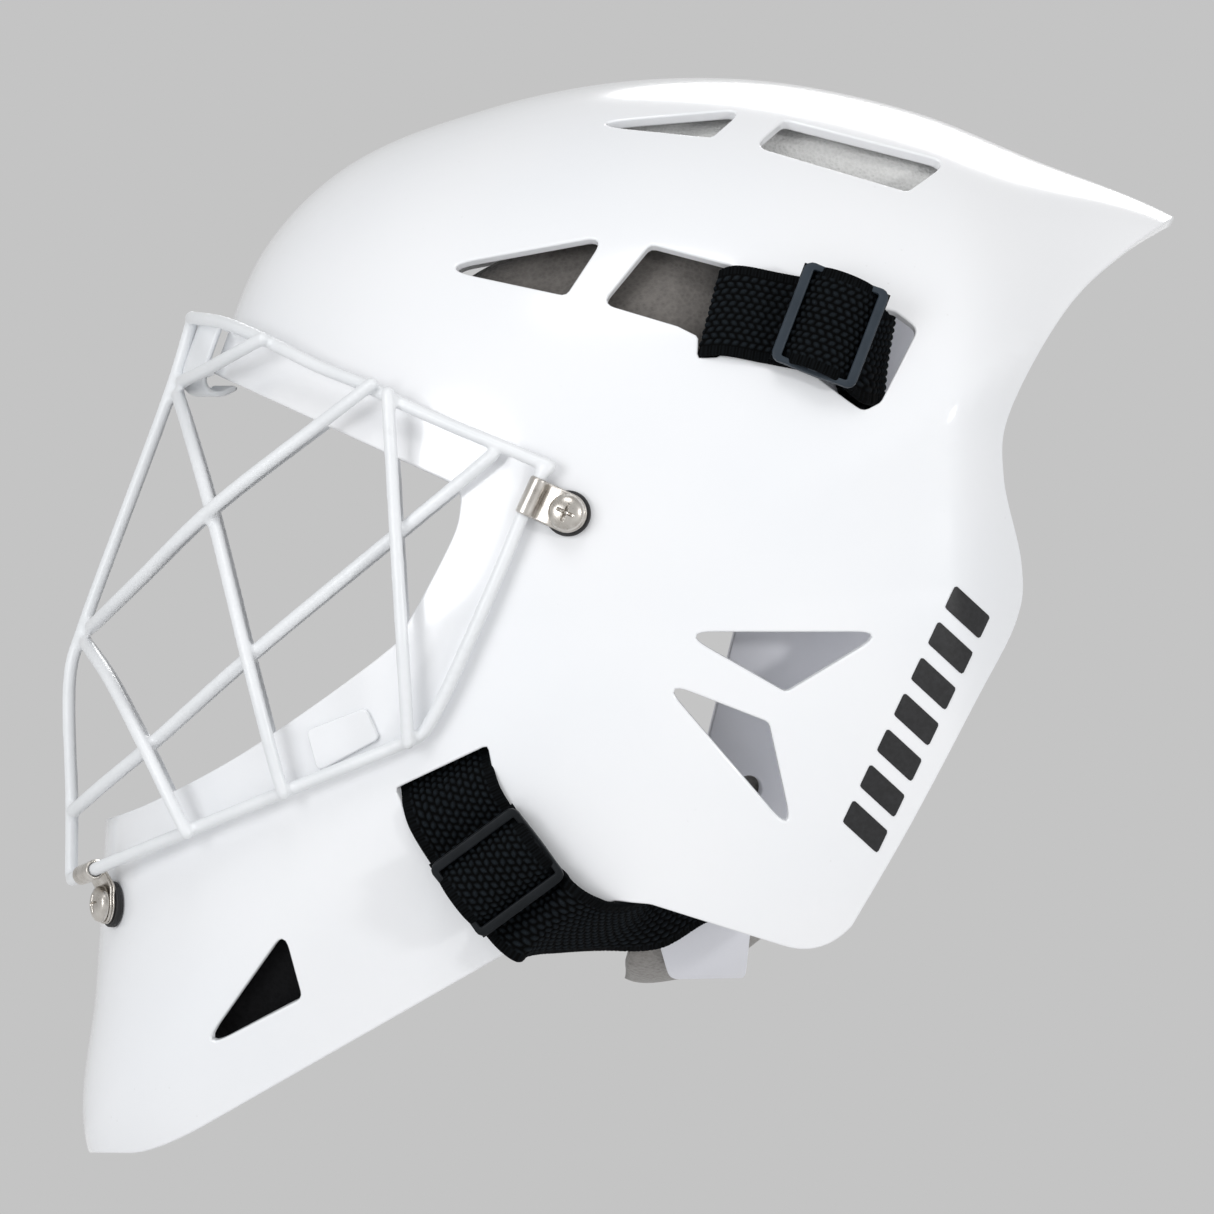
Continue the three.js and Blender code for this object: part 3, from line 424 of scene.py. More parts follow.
# ---------------------------------------------------------------- shader maths
class Shade:
    """A material's node tree, with one method for every kind of node."""

    def __init__(self, name):
        self.material = bpy.data.materials.new(name)
        self.material.use_nodes = True
        self.tree = self.material.node_tree
        self.tree.nodes.clear()

    def node(self, kind, settings=None, output=0, **inputs):
        """A node by its type. Its settings are set first, then its sockets by name or _number."""
        made = self.tree.nodes.new(kind)
        for key, value in (settings or {}).items():
            setattr(made, key, value)
        for key, value in inputs.items():
            socket = made.inputs[int(key[1:])] if key[0] == "_" else made.inputs[key.replace("_", " ")]
            if isinstance(value, Link):
                self.tree.links.new(value.socket, socket)
            elif value is not None:
                socket.default_value = value
        return Link(self, made.outputs[output])

    def place(self):
        """Object coordinates."""
        return self.node("ShaderNodeTexCoord", output=3)

    def scaled(self, place, x, y, z):
        return self.node("ShaderNodeVectorMath", {"operation": "MULTIPLY"}, _0=place, _1=(x, y, z))

    def noise(self, place, scale, detail=3.0, rough=0.55):
        return self.node("ShaderNodeTexNoise", Vector=place, Scale=scale, Detail=detail, Roughness=rough)

    def cells(self, place, scale):
        return self.node("ShaderNodeTexVoronoi", Vector=place, Scale=scale)

    def mix(self, factor, one, other):
        return self.node(
            "ShaderNodeMix", {"data_type": "RGBA"}, output=2, _0=factor,
            _6=one if isinstance(one, Link) else (*one, 1),
            _7=other if isinstance(other, Link) else (*other, 1),
        )

    def bump(self, height, distance, strength=1.0, over=None):
        return self.node("ShaderNodeBump", Height=height, Distance=distance, Strength=strength, Normal=over)

    def finish(self, color, roughness, normal=None, **constants):
        """The surface: colour, roughness and normal may be links, and the rest are plain numbers."""
        shader = self.node(
            "ShaderNodeBsdfPrincipled", Base_Color=color if isinstance(color, Link) else (*color, 1),
            Roughness=roughness, Normal=normal, **constants,
        )
        out = self.tree.nodes.new("ShaderNodeOutputMaterial")
        self.tree.links.new(shader.socket, out.inputs["Surface"])
        return self.material


class Link:
    """A node's output, on which + - and * add Math nodes, with a number or another link on either side."""

    def __init__(self, shade, socket):
        self.shade, self.socket = shade, socket

    def _math(self, operation, first, second=None):
        return self.shade.node("ShaderNodeMath", {"operation": operation}, _0=first, _1=second)

    def __add__(self, other):
        return self._math("ADD", self, other)

    def __sub__(self, other):
        return self._math("SUBTRACT", self, other)

    def __rsub__(self, other):
        return self._math("SUBTRACT", other, self)

    def __mul__(self, other):
        return self._math("MULTIPLY", self, other)

    __radd__ = __add__
    __rmul__ = __mul__

    def clamped(self, low, high):
        """0 below low, 1 above high and straight between."""
        return self.shade.node(
            "ShaderNodeMapRange", {"clamp": True}, Value=self, From_Min=low, From_Max=high,
            To_Min=0.0, To_Max=1.0,
        )


# ---------------------------------------------------------------- finishes
def gloss_shell_finish():
    """Moulded white plastic: slow unevenness of the mould, faint scuffs, and dust specks."""
    s = Shade("gloss_white_shell")
    at = s.place()
    slow = s.noise(at, 9, 2)
    tone = s.mix(slow.clamped(0.35, 0.7), (0.86, 0.875, 0.9), (0.9, 0.905, 0.92))
    scratch = s.noise(s.scaled(at, 420, 420, 26), 1, 4, 0.7).clamped(0.66, 0.78)
    specks = 1 - s.cells(at, 240).clamped(0.03, 0.09)
    rare = s.noise(at, 31, 2).clamped(0.6, 0.72)
    marks = specks * rare
    color = s.mix(marks * 0.35, tone, (0.5, 0.49, 0.47))
    rough = 0.13 + 0.06 * slow + 0.12 * scratch * rare + 0.2 * marks
    wave = s.bump(slow, 0.00035, 0.35)
    peel = s.bump(s.noise(at, 330, 2), 0.00002, 0.25, over=wave)
    return s.finish(color, rough, peel, Specular_IOR_Level=0.5, Coat_Weight=0.35, Coat_Roughness=0.06)


def plate_finish():
    """Thinner lilac-white plastic of the plate, with a satin face."""
    s = Shade("satin_white_plate")
    at = s.place()
    slow = s.noise(at, 14, 3)
    grain = s.noise(at, 900, 2)
    color = s.mix(slow.clamped(0.3, 0.75), (0.73, 0.74, 0.795), (0.79, 0.795, 0.845))
    return s.finish(color, 0.34 + 0.12 * slow, s.bump(grain, 0.00004, 0.4))


def powder_coat_finish():
    """White powder coat: a fine pebbled face, with a little grey worn into it in random patches."""
    s = Shade("white_powder_coat")
    at = s.place()
    pebble = s.noise(at, 620, 3)
    slow = s.noise(at, 40, 3)
    wear = (s.noise(at, 150, 4, 0.7) * slow).clamped(0.38, 0.46)
    color = s.mix(slow.clamped(0.35, 0.7), (0.79, 0.81, 0.83), (0.84, 0.855, 0.875))
    worn = s.mix(wear * 0.2, color, (0.55, 0.56, 0.57))
    return s.finish(
        worn, 0.34 + 0.1 * pebble, s.bump(pebble, 0.00003, 0.3), Coat_Weight=0.15, Coat_Roughness=0.2,
    )


def steel_finish():
    """Stainless strip and screws: fine drawn lines, cloudy polish and darker handling marks."""
    s = Shade("stainless_steel")
    at = s.place()
    drawn = s.noise(s.scaled(at, 2600, 2600, 160), 1, 3)
    cloud = s.noise(at, 190, 4)
    color = s.mix(cloud.clamped(0.35, 0.7), (0.5, 0.47, 0.43), (0.74, 0.71, 0.67))
    rough = 0.17 + 0.12 * drawn + 0.12 * cloud
    return s.finish(color, rough, s.bump(drawn, 0.00003, 0.35), Metallic=1.0)


def rubber_finish():
    """Matte rubber with a faint grey bloom."""
    s = Shade("black_rubber")
    at = s.place()
    bloom = s.noise(at, 260, 4)
    color = s.mix(bloom.clamped(0.4, 0.75), (0.012, 0.012, 0.013), (0.03, 0.03, 0.032))
    return s.finish(color, 0.5 + 0.25 * bloom, s.bump(s.noise(at, 1500, 2), 0.00005, 0.5))


def vinyl_finish():
    """Thin black film for the flap's stripes."""
    s = Shade("black_vinyl")
    at = s.place()
    grain = s.noise(at, 700, 3)
    color = s.mix(grain.clamped(0.35, 0.7), (0.006, 0.006, 0.007), (0.014, 0.014, 0.016))
    return s.finish(color, 0.3 + 0.12 * grain, s.bump(grain, 0.00002, 0.3))


def webbing_finish():
    """Black elastic: painted shade in the gaps of the knit, fine filaments along it, blue-grey where they
    catch the light, and rare bright filament ends."""
    s = Shade("black_elastic")
    at = s.place()
    raised = s.node("ShaderNodeAttribute", {"attribute_name": "knit"}, output=2).clamped(-0.35, 0.8)
    filament = s.noise(s.scaled(at, 5200, 5200, 2100), 1, 2)
    slow = s.noise(at, 420, 3)
    thread = s.mix(filament.clamped(0.35, 0.75), (0.0065, 0.0088, 0.0112), (0.014, 0.0185, 0.023))
    # painted shade: where the knit's height is low, in its gaps, the colour goes nearly black
    color = s.mix(raised, (0.0004, 0.0005, 0.0006), thread)
    ends = (1 - s.cells(at, 520).clamped(0.02, 0.06)) * slow.clamped(0.6, 0.75)
    color = s.mix(ends * 0.3, color, (0.16, 0.17, 0.19))
    return s.finish(
        color, 0.74 + 0.16 * filament, s.bump(filament, 0.00012, 0.6), Specular_IOR_Level=0.07,
    )


def slide_finish(name, dark, light, shine):
    """Satin nylon with the faint orange peel of its mould."""
    s = Shade(name)
    at = s.place()
    slow, grain = s.noise(at, 120, 3), s.noise(at, 1700, 2)
    return s.finish(
        s.mix(slow.clamped(0.35, 0.7), dark, light), 0.38 + 0.14 * grain, s.bump(grain, 0.00004, 0.5),
        Specular_IOR_Level=shine,
    )


def foam_finish(name, dark, light, pore_scale, depth, sheen=0.3, shine=0.5):
    """Foam with a brushed face: open pores darkened by painted shade, slow stains, and a soft sheen from its
    nap.
    """
    s = Shade(name)
    at = s.place()
    pores = s.cells(at, pore_scale).clamped(0.0, 0.75)
    nap = s.noise(s.scaled(at, 1.0, 1.3, 2.4), pore_scale * 1.7, 4, 0.7)
    slow = s.noise(at, 26, 4)
    # painted shade: darker in the pores, which the bump below sinks; the nap and the slow stains vary the
    # colour too
    face = (0.25 * pores + 0.5 * nap + 0.4 * slow - 0.1).clamped(0.15, 0.85)
    height = 0.6 * pores + 0.4 * nap
    return s.finish(
        s.mix(face, dark, light), 0.86 + 0.1 * nap, s.bump(height, depth, 0.7),
        Specular_IOR_Level=shine, Sheen_Weight=sheen, Sheen_Roughness=0.5,
    )


SHELL_FINISH = gloss_shell_finish()
PLATE_FINISH = plate_finish()
CAGE_FINISH = powder_coat_finish()
STEEL_FINISH = steel_finish()
RUBBER_FINISH = rubber_finish()
VINYL_FINISH = vinyl_finish()
WEBBING_FINISH = webbing_finish()
UPPER_SLIDE_FINISH = slide_finish("blue_grey_nylon", (0.022, 0.031, 0.042), (0.031, 0.042, 0.055), 0.25)
LOWER_SLIDE_FINISH = slide_finish("black_nylon", (0.006, 0.0075, 0.009), (0.011, 0.013, 0.0155), 0.14)
DARK_FOAM_FINISH = foam_finish("dark_foam", (0.075, 0.07, 0.065), (0.2, 0.185, 0.172), 700, 0.0004)
BLACK_FOAM_FINISH = foam_finish(
    "black_foam", (0.003, 0.003, 0.0035), (0.009, 0.009, 0.01), 700, 0.0004, sheen=0.02, shine=0.1,
)
FELT_FINISH = foam_finish("pale_felt", (0.62, 0.62, 0.61), (0.86, 0.86, 0.85), 950, 0.0005)
GREY_FOAM_FINISH = foam_finish("grey_foam", (0.17, 0.16, 0.15), (0.36, 0.345, 0.33), 800, 0.0004)

for node_name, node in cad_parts.items():
    if "_nut_" in node_name or "_rivet_" in node_name:
        for material_slot in node.material_slots:
            material_slot.material = STEEL_FINISH


# ---------------------------------------------------------------- shell, plate and raised mouldings
TRIM = np.vstack([
    [(-200, 0)], bend((-141, 0), (-133, 0.6), (-118, 9.3)), bend((-31.6, 58.9), (-10, 71.5), (-1.2, 73.4)),
    [(9, 72.5)], bend((46.7, 60.6), (58.5, 56.5), (67.4, 66.2)),
    spline_2d([(67.4, 66.2), (83.7, 94.3), (102.9, 130.5), (115, 154.5), (116.4, 171), (111.2, 196),
               (113.2, 215), (129.9, 244.8), (147.6, 261.9), (161, 271.2)]),
    [(195, 290), (195, 340), (-200, 340)],
])
EYE_OPENING = np.vstack([
    [(-220, 96.5)],
    spline_2d([(-148.8, 96.9), (-134, 102.7), (-105.9, 118), (-67.9, 145), (-60.3, 155.2), (-48.1, 178.4),
               (-45.8, 188.5)]),
    bend((-45.8, 188.5), (-46, 193), (-50, 194.8)), [(-117.6, 226), (-220, 274)],
])
VENTS = {
    "crown_front": [(-12.8, 298.1), (36.1, 302.4), (26.7, 294.1)],
    "crown_rear": [(38.9, 291.5), (47.8, 299.3), (95.4, 287.1), (83.2, 278.4)],
    "temple": [(-53.5, 256.4), (-4.1, 265.4), (-15.4, 248.2)],
    "strap_front": [(-4.9, 245.9), (9, 263), (33, 256.6, 1), (28.8, 230.4, 0.5), (22.7, 230.2, 0.5),
                    (22.8, 236.4, 1), (16.8, 239.4)],
    "strap_rear": [(64, 247, 1), (79.5, 243.6, 3), (86.2, 238.6, 3), (75.4, 217.4, 3), (70.4, 214.8, 3),
                   (66, 217.8), (57, 224.8, 1)],
    "ear_upper": [(17.7, 151.1), (77.1, 151.1), (48.1, 133.7)],
    "ear_lower": [(11.9, 137.2), (43.2, 125), (50.5, 92.2)],
    "chin": [(-96.9, 64.7), (-91.6, 45.2), (-121.5, 29.9)],
    "jaw_strap": [(-64.6, 105.9, 1), (-38, 118.4, 1), (-35.8, 107.2, 1), (-60.2, 96.2, 1)],
}
openings = [EYE_OPENING, *(rounded(outline) for outline in VENTS.values())]
shell_points, shell_faces, shell_normals = moulding(SHELL, TRIM, openings, 0, -WALL, 0.7)
settle(
    add_piece("mask_shell", shell_points, shell_faces, SHELL_FINISH, shell_normals), BODY, "shell", "shell",
)

PLATE_OUTLINE = rounded(
    [(33.3, 151), (25.5, 118.9), (11, 62, 6), (15, 48.7, 3), (37.8, 48.9, 2.5), (39.4, 66, 3), (125, 122),
     (130, 250), (78, 251, 12), (54, 222, 12), (46, 180, 14)], 5,
)
PLATE_HOLE = (38, 105, 8)


def round_hole(x, z, diameter):
    """A circle in the side view."""
    turn = full_turn(40)
    return np.stack([x + diameter / 2 * np.cos(turn), z + diameter / 2 * np.sin(turn)], axis=-1)


plate_points, plate_faces, plate_normals = moulding(
    PLATE, PLATE_OUTLINE, [round_hole(*PLATE_HOLE)], PLATE_SURFACE, PLATE_SURFACE - PLATE_WALL, 0.6,
    spacing=0.03,
)
settle(
    add_piece("moulded_back_plate", plate_points, plate_faces, PLATE_FINISH, plate_normals), PLATE_BODY,
    "plate", "back_plate",
)

PLAQUE = rounded([(-89.7, 122.9), (-72.6, 129.5), (-68.5, 120.5), (-86.4, 110.8)], 2)
plaque = moulding(SHELL, PLAQUE, [], 1.5, 0.0, 0.6, spacing=0.012, step=0.8, joined=False)
for side, (points, faces, normals) in (("left", plaque), ("right", mirrored_moulding(*plaque))):
    settle(
        add_piece("raised_plaque_" + side, points, faces, SHELL_FINISH, normals), BODY, "shell",
    )

# A plain row of slanted bars on each rear flap.
STRIPE_START, STRIPE_ALONG, STRIPE_ACROSS = (68.5, 90.0), (0.43, 0.903), (-0.903, 0.43)
STRIPE_LENGTH, STRIPE_PITCH, STRIPE_BAR, STRIPE_SLANT, STRIPE_COUNT = 13.0, 11.4, 7.2, 4.0, 7


def stripe(index):
    """One slanted bar: a parallelogram, given along and across the row."""
    first = index * STRIPE_PITCH
    foot, head = -STRIPE_LENGTH / 2, STRIPE_LENGTH / 2
    corners = [(first, foot), (first + STRIPE_BAR, foot), (first + STRIPE_BAR + STRIPE_SLANT, head),
               (first + STRIPE_SLANT, head)]
    return rounded([
        (STRIPE_START[0] + a * STRIPE_ALONG[0] + b * STRIPE_ACROSS[0],
         STRIPE_START[1] + a * STRIPE_ALONG[1] + b * STRIPE_ACROSS[1]) for a, b in corners], 0.8)


stripe_parts = []
for stripe_number in range(STRIPE_COUNT):
    bar = stripe(stripe_number)
    left = moulding(SHELL, bar, [], 0.16, 0.03, 0.06, spacing=0.012, step=0.8, joined=False)
    stripe_parts += [left, mirrored_moulding(*left)]
stripe_points, stripe_faces = joined_parts([part[:2] for part in stripe_parts])
settle(
    add_piece(
        "flap_stripes", stripe_points, stripe_faces, VINYL_FINISH,
        np.vstack([part[2] for part in stripe_parts]),
    ), BODY, "rubber",
)


# ---------------------------------------------------------------- the cage
def wire_route(route, to_centre, count=70):
    """A wire on the cage's dome, given in the side view with its offset in layers. One that ends at the
    centre bar has its points drawn close there, where the dome turns fast."""
    points = [(x, (layers[0] if layers else 0) * WELD_LAYER, z) for x, z, *layers in route]
    flat = curve_through(points, 400, even=False)
    t = np.linspace(0, 1, count)
    pick = (1 - (1 - t) ** 2 if to_centre else t) * (len(flat) - 1)
    x, offset, z = (np.interp(pick, np.arange(len(flat)), flat[:, k]) for k in range(3))
    return np.stack([x, -CAGE.half_width(x, z, offset), z], axis=-1)


def tube(path, radius, sides=14, cap=4):
    """A round tube along a path with domed ends: circles about the path, each starting in the direction
    square to the path and to the line out from the ear's point."""
    path = np.asarray(path, float)
    ahead = unit(np.gradient(path, axis=0))
    theta = np.linspace(0, np.pi / 2, cap, endpoint=False)[::-1]
    heads = path[0] - ahead[0] * (radius * np.sin(theta[:, None]))
    tails = path[-1] + ahead[-1] * (radius * np.sin(theta[::-1][:, None]))
    centres = np.vstack([heads, path, tails])
    sizes = radius * np.concatenate([np.cos(theta), np.ones(len(path)), np.cos(theta[::-1])])
    ahead = np.vstack([np.repeat(ahead[:1], cap, 0), ahead, np.repeat(ahead[-1:], cap, 0)])
    out = unit(centres - [EAR[0], 0, EAR[1]])
    side = unit(np.cross(ahead, out))
    up = np.cross(side, ahead)
    turn = full_turn(sides)
    ring = side[:, None] * np.cos(turn)[None, :, None] + up[:, None] * np.sin(turn)[None, :, None]
    points = (centres[:, None] + ring * sizes[:, None, None]).reshape(-1, 3)
    rows = len(centres)
    ends = np.array([np.arange(sides)[::-1].tolist(), (np.arange(sides) + (rows - 1) * sides).tolist()])
    return points, [grid_faces(rows, sides, closed_columns=True)[:, ::-1], ends[:, ::-1]]


def mirrored_path(half):
    """A path that ends on the middle plane, and its mirror image back to the other side."""
    return np.vstack([half, half[-2::-1] * [1, -1, 1]])


TOP_WIRE = [(-20, 198.7), (-34.5, 204.9), (-46.3, 209.7), (-64.5, 217.8), (-74.2, 222.6), (-87, 227.8),
            (-103.6, 236), (-114.9, 240.6), (-123.9, 242.1)]
LOWER_WIRE = [(-22.4, 196.6), (-27.6, 185.2), (-34.7, 168), (-53.9, 126), (-57.1, 121.6), (-62, 119.2),
              (-94.5, 105.9), (-125.6, 93.2), (-149.1, 83.5), (-158.6, 79.4)]
CENTRE_WIRE = [(-123.6, 241.6), (-129.4, 222.5), (-155.6, 151.5), (-159, 140), (-158.6, 99.2), (-158.8, 81)]
CENTRE_BARS = [
    [(-103, 235.8, 1), (-110, 232, 0.9), (-120, 226.7, 0.2), (-126.6, 223.6, 0)],
    [(-96.8, 104.6, 1.05), (-98.8, 111, 0.9), (-107.6, 144.8, 0.5), (-117.7, 185.6, 0), (-125, 210.8, 0),
     (-127.8, 219.6, 0)],
    [(-71.3, 222.6, 1.05), (-78, 217.4, 1), (-118.2, 186.3, 1), (-138, 167, 0.4), (-152.8, 152.6, 0)],
    [(-36.4, 202.1, 0), (-45, 195, -0.2), (-64.5, 179, -0.6), (-106.8, 144, -0.6), (-136.9, 117.2, -0.6),
     (-150, 106.3, -0.2), (-158, 99.3, 0)],
    [(-124.9, 93, 1.05), (-128, 99.2, 1), (-136.9, 117.5, 0.6), (-148, 138.5, 0.2), (-154.6, 148, 0)],
]
SIDE_BAR = [(-66.6, 219.9, 1.05), (-66.3, 213, 1), (-64.4, 180, 0.8), (-61.4, 130, 1), (-60.8, 119.2, 1.05)]
CAGE_VOXEL, CAGE_SMOOTHING = 0.72, 5
CAGE_SWELL = 0.12  # the smoothing takes this much off a wire's radius
BAR_END = WIRE / 2 - 0.3  # a bar stops inside the centre wire


def cage_wires():
    """The paths of all the cage's wires: the top and lower ones with the temple corners that join them, the
    centre wire, and the bars."""
    wires = [mirrored_path(wire_route(TOP_WIRE, True)), mirrored_path(wire_route(LOWER_WIRE, True, 110))]
    corner = curve_through([wires[0][1], wires[0][0], wires[1][0], wires[1][1]], 10)
    wires += [corner, corner * [1, -1, 1]]
    wires.append(curve_through([(x, 0, z) for x, z in CENTRE_WIRE], 60))
    for route in CENTRE_BARS:
        half = wire_route(route, True)
        half[-1, 1] = -BAR_END
        wires += [half, half * [1, -1, 1]]
    side_bar = wire_route(SIDE_BAR, False)
    return wires + [side_bar, side_bar * [1, -1, 1]]


def add_remesh(piece, voxel):
    """One skin of even faces over everything in the piece."""
    remesh = piece.modifiers.new("skin", "REMESH")
    remesh.mode, remesh.voxel_size = "VOXEL", voxel * MM


def add_smoothing(piece, times):
    """Each point moves half way to its neighbours' middle, this many times."""
    smooth = piece.modifiers.new("smooth", "SMOOTH")
    smooth.factor, smooth.iterations = 0.5, times


def bake_modifiers(piece):
    """Replaces the mesh by what its modifiers make of it."""
    graph = bpy.context.evaluated_depsgraph_get()
    result = bpy.data.meshes.new_from_object(piece.evaluated_get(graph))
    piece.modifiers.clear()
    piece.data = result
    result.polygons.foreach_set("use_smooth", [True] * len(result.polygons))


cage_points, cage_faces = joined_parts([tube(wire, WIRE / 2 + CAGE_SWELL) for wire in cage_wires()])
cage = add_piece("welded_cage", cage_points, cage_faces, CAGE_FINISH)
add_remesh(cage, CAGE_VOXEL)
add_smoothing(cage, CAGE_SMOOTHING)
bake_modifiers(cage)
BAR_NAMES = ("brow_bar", "inner_bar", "upper_cross_bar", "lower_cross_bar", "side_bar", "jaw_bar")
settle(
    cage, BODY, "cage", "cage_top_wire", "cage_lower_wire",
    *(f"cage_{bar}_{side}" for bar in BAR_NAMES for side in ("left", "right")),
)


# ---------------------------------------------------------------- strips: clips, bracket, straps
def strip_grid(length, width, thickness, pitch, rim):
    """Places along and across a strip, and the share of the thickness at each: the outer rim's width is
    taken by a quarter circle in four steps, and the rest is even."""

    def axis(total):
        turn = np.linspace(0, np.pi / 2, 5)[:-1]
        steps = max(2, int((total - 2 * rim) / pitch))
        even = np.linspace(rim, total - rim, steps + 1)
        near = rim * (1 - np.cos(turn))
        place = np.concatenate([near, even, (total - near)[::-1]])
        share = np.concatenate([np.sin(turn), np.ones(steps + 1), np.sin(turn)[::-1]])
        return place, share

    u, share_u = axis(length)
    v, share_v = axis(width)
    return u, v - width / 2, thickness / 2 * np.outer(share_u, share_v)


def strip_along(path, width, thickness, pitch, rim):
    """The grid of a strip that follows a path: the path's values at each place along, then the places and
    the half thickness as strip_grid gives them."""
    length = float(np.linalg.norm(np.diff(path[:, :3], axis=0), axis=1).sum())
    u, v, half = strip_grid(length, width, thickness, pitch, rim)
    places = np.linspace(0, length, len(path))
    return np.stack([np.interp(u, places, values) for values in path.T], axis=-1), u, v, half


def rim_of(rows, columns):
    """Which points of a grid lie on its outer edge."""
    rim = np.zeros((rows, columns), bool)
    rim[[0, -1], :] = rim[:, [0, -1]] = True
    return rim


def two_faced(surface, half, relief=None):
    """A closed strip round a grid of points: the faces lie half a thickness to each side along the grid's
    normals, plus relief on both, and meet where the half thickness is nothing."""
    rows, columns = half.shape
    along, across = np.gradient(surface, axis=0), np.gradient(surface, axis=1)
    normal = unit(np.cross(along, across))
    height = half if relief is None else half * (1 + relief)
    top, bottom = surface + normal * height[..., None], surface - normal * height[..., None]
    rim = rim_of(rows, columns)
    number_top = np.arange(rows * columns)
    number_bottom = np.where(rim.ravel(), number_top, rows * columns + np.cumsum(~rim.ravel()) - 1)
    faces = grid_faces(rows, columns)
    points = np.vstack([top.reshape(-1, 3), bottom.reshape(-1, 3)[~rim.ravel()]])
    return points, [faces, number_bottom[faces][:, ::-1]]


def seat(point, normal, direction):
    """A small part's frame on a surface, as rows: X the direction laid on the surface, Y, Z the normal."""
    along = unit(direction - (direction @ normal) * normal)
    return point, np.array([along, np.cross(normal, along), normal])


def in_seat(points, frame_of_seat):
    """Points of a small part's own frame, in the mask's."""
    origin, axes = frame_of_seat
    return points @ axes + origin


# A clip's screw on the shell, the wire's middle in the clip, and two places along that wire.
CLIPS = {
    "temple": {"screw": (-14.6, 185.2), "wire": (-24.6, 191), "along": ((-22.4, 196.6), (-27.6, 185.2))},
    "chin": {"screw": (-145.6, 72.2), "wire": (-154.3, 81.2), "along": ((-151.3, 82.6), (-155.9, 80.6))},
}
CLIP_WIDTH, CLIP_SHEET = 11.5, 0.8
WASHER_OUTER, WASHER_INNER, WASHER_HEIGHT = 13.3, 5.4, 2.0
SCREW_HEAD, SCREW_HEIGHT, SCREW_SHANK, SCREW_LENGTH = 10.7, 3.4, 4.8, 13.0
SCREW_WALL = 0.9  # the head's upright part, under its dome
THREAD_DEPTH, THREAD_PITCH = 0.2, 0.8


def clip_seat(screw, along):
    """A clip's frame on the shell, with its X square to the wire that it holds."""
    point, normal = (value[0] for value in SHELL.at(*screw))
    top, bottom = (CAGE.at(*place)[0][0] for place in along)
    return seat(point, normal, np.cross(normal, top - bottom))


def clip_strip(wire_x, wire_z):
    """A P-clip: a flat strip that leaves the screw on its lower leg, goes round the wire as an arc and
    comes back on its upper leg, with both ends cut to the screw's round."""
    lower = WASHER_HEIGHT + 0.3 + CLIP_SHEET / 2
    upper = lower + CLIP_SHEET + 0.05
    radius = WIRE / 2 + 0.12 + CLIP_SHEET / 2
    lean = math.atan2(wire_z - lower, wire_x - 5.5)
    turn = np.radians(np.linspace(-82, 205, 22)) + lean
    arc = np.stack([wire_x + radius * np.cos(turn), wire_z + radius * np.sin(turn)], axis=-1)
    tail = -CLIP_WIDTH / 2
    flat = [(x, lower) for x in (tail, -2.5, 1.5, 4.6)]
    back = [(x, upper) for x in (4.4, 1.2, -2.5, tail)]
    path = np.array([*flat, *arc, *back])
    path = curve_through(np.insert(path, 1, 0, axis=1), 150)
    run = run_along(path)
    from_end = np.minimum(run, run[-1] - run)
    round_end = CLIP_WIDTH / 2 - np.minimum(from_end, CLIP_WIDTH / 2)
    half_width = np.sqrt(np.maximum((CLIP_WIDTH / 2) ** 2 - round_end**2, 0.4))
    across = np.linspace(-1, 1, 33)
    share = np.minimum(1, np.sqrt(np.clip((1 - np.abs(across)) * 18, 0, 1)))
    ends = np.minimum(1, np.sqrt(np.clip(from_end / 0.3, 0, 1)))
    surface = path[:, None] + np.array([0, 1, 0]) * (across[None, :, None] * half_width[:, None, None])
    return two_faced(surface, CLIP_SHEET / 2 * np.outer(ends, share))


def turned_part(radii, heights, sides):
    """A profile of radii and heights turned about Z."""
    turn = full_turn(sides)
    radii, heights = np.asarray(radii, float), np.asarray(heights, float)
    ring = np.stack([np.cos(turn), np.sin(turn), np.zeros(sides)], axis=-1)
    points = radii[:, None, None] * ring[None] + heights[:, None, None] * np.array([0, 0, 1.0])
    return points.reshape(-1, 3), [grid_faces(len(radii), sides, closed_columns=True)[:, ::-1]]


def pan_head_screw():
    """A cross-recess pan head on its shank: the head's height over radius r is an ellipse's quarter, and
    the cross is sunk where a point is near either arm, deepest at the middle."""
    sides = 128
    base = WASHER_HEIGHT + 0.3 + 2 * CLIP_SHEET + 0.15
    radius = SCREW_HEAD / 2
    cap_radius = radius - 0.35
    rings = np.linspace(0.001, 1, 46) * cap_radius
    rr, tt = np.meshgrid(rings, full_turn(sides), indexing="ij")
    x, y = rr * np.cos(tt), rr * np.sin(tt)

    def crown(r):
        return SCREW_WALL + (SCREW_HEIGHT - SCREW_WALL) * np.sqrt(np.maximum(0, 1 - (r / radius) ** 2.2))

    arm = np.minimum(np.abs(x), np.abs(y))
    reach = np.maximum(np.abs(x), np.abs(y))
    cross = ease((0.52 - arm) / 0.2) * ease((2.8 - reach) / 0.3)
    sunk = cross * (0.9 + 1.3 * ease((2.6 - reach) / 2.6)) + 0.3 * ease((1.0 - rr) / 0.4)
    cap = np.stack([x, y, base + crown(rr) - sunk], axis=-1).reshape(-1, 3)
    radii = [cap_radius, radius - 0.08, radius, radius, radius - 0.15, SCREW_SHANK / 2]
    heights = [base + crown(cap_radius), base + 1.0, base + 0.8, base + 0.25, base, base]
    threads = np.arange(0, SCREW_LENGTH - 0.6, 0.2)
    radii += list(SCREW_SHANK / 2 - THREAD_DEPTH + THREAD_DEPTH * np.cos(threads * 2 * np.pi / THREAD_PITCH))
    heights += list(base - 0.1 - threads)
    radii += [SCREW_SHANK / 2 - 0.6, 0.001]
    heights += [base - SCREW_LENGTH + 0.2, base - SCREW_LENGTH]
    body, faces = turned_part(radii, heights, sides)
    points = np.vstack([cap, body[sides:]])
    body_faces = faces[0] + len(cap) - sides
    return points, [grid_faces(len(rings), sides, closed_columns=True), body_faces[:, ::-1]]


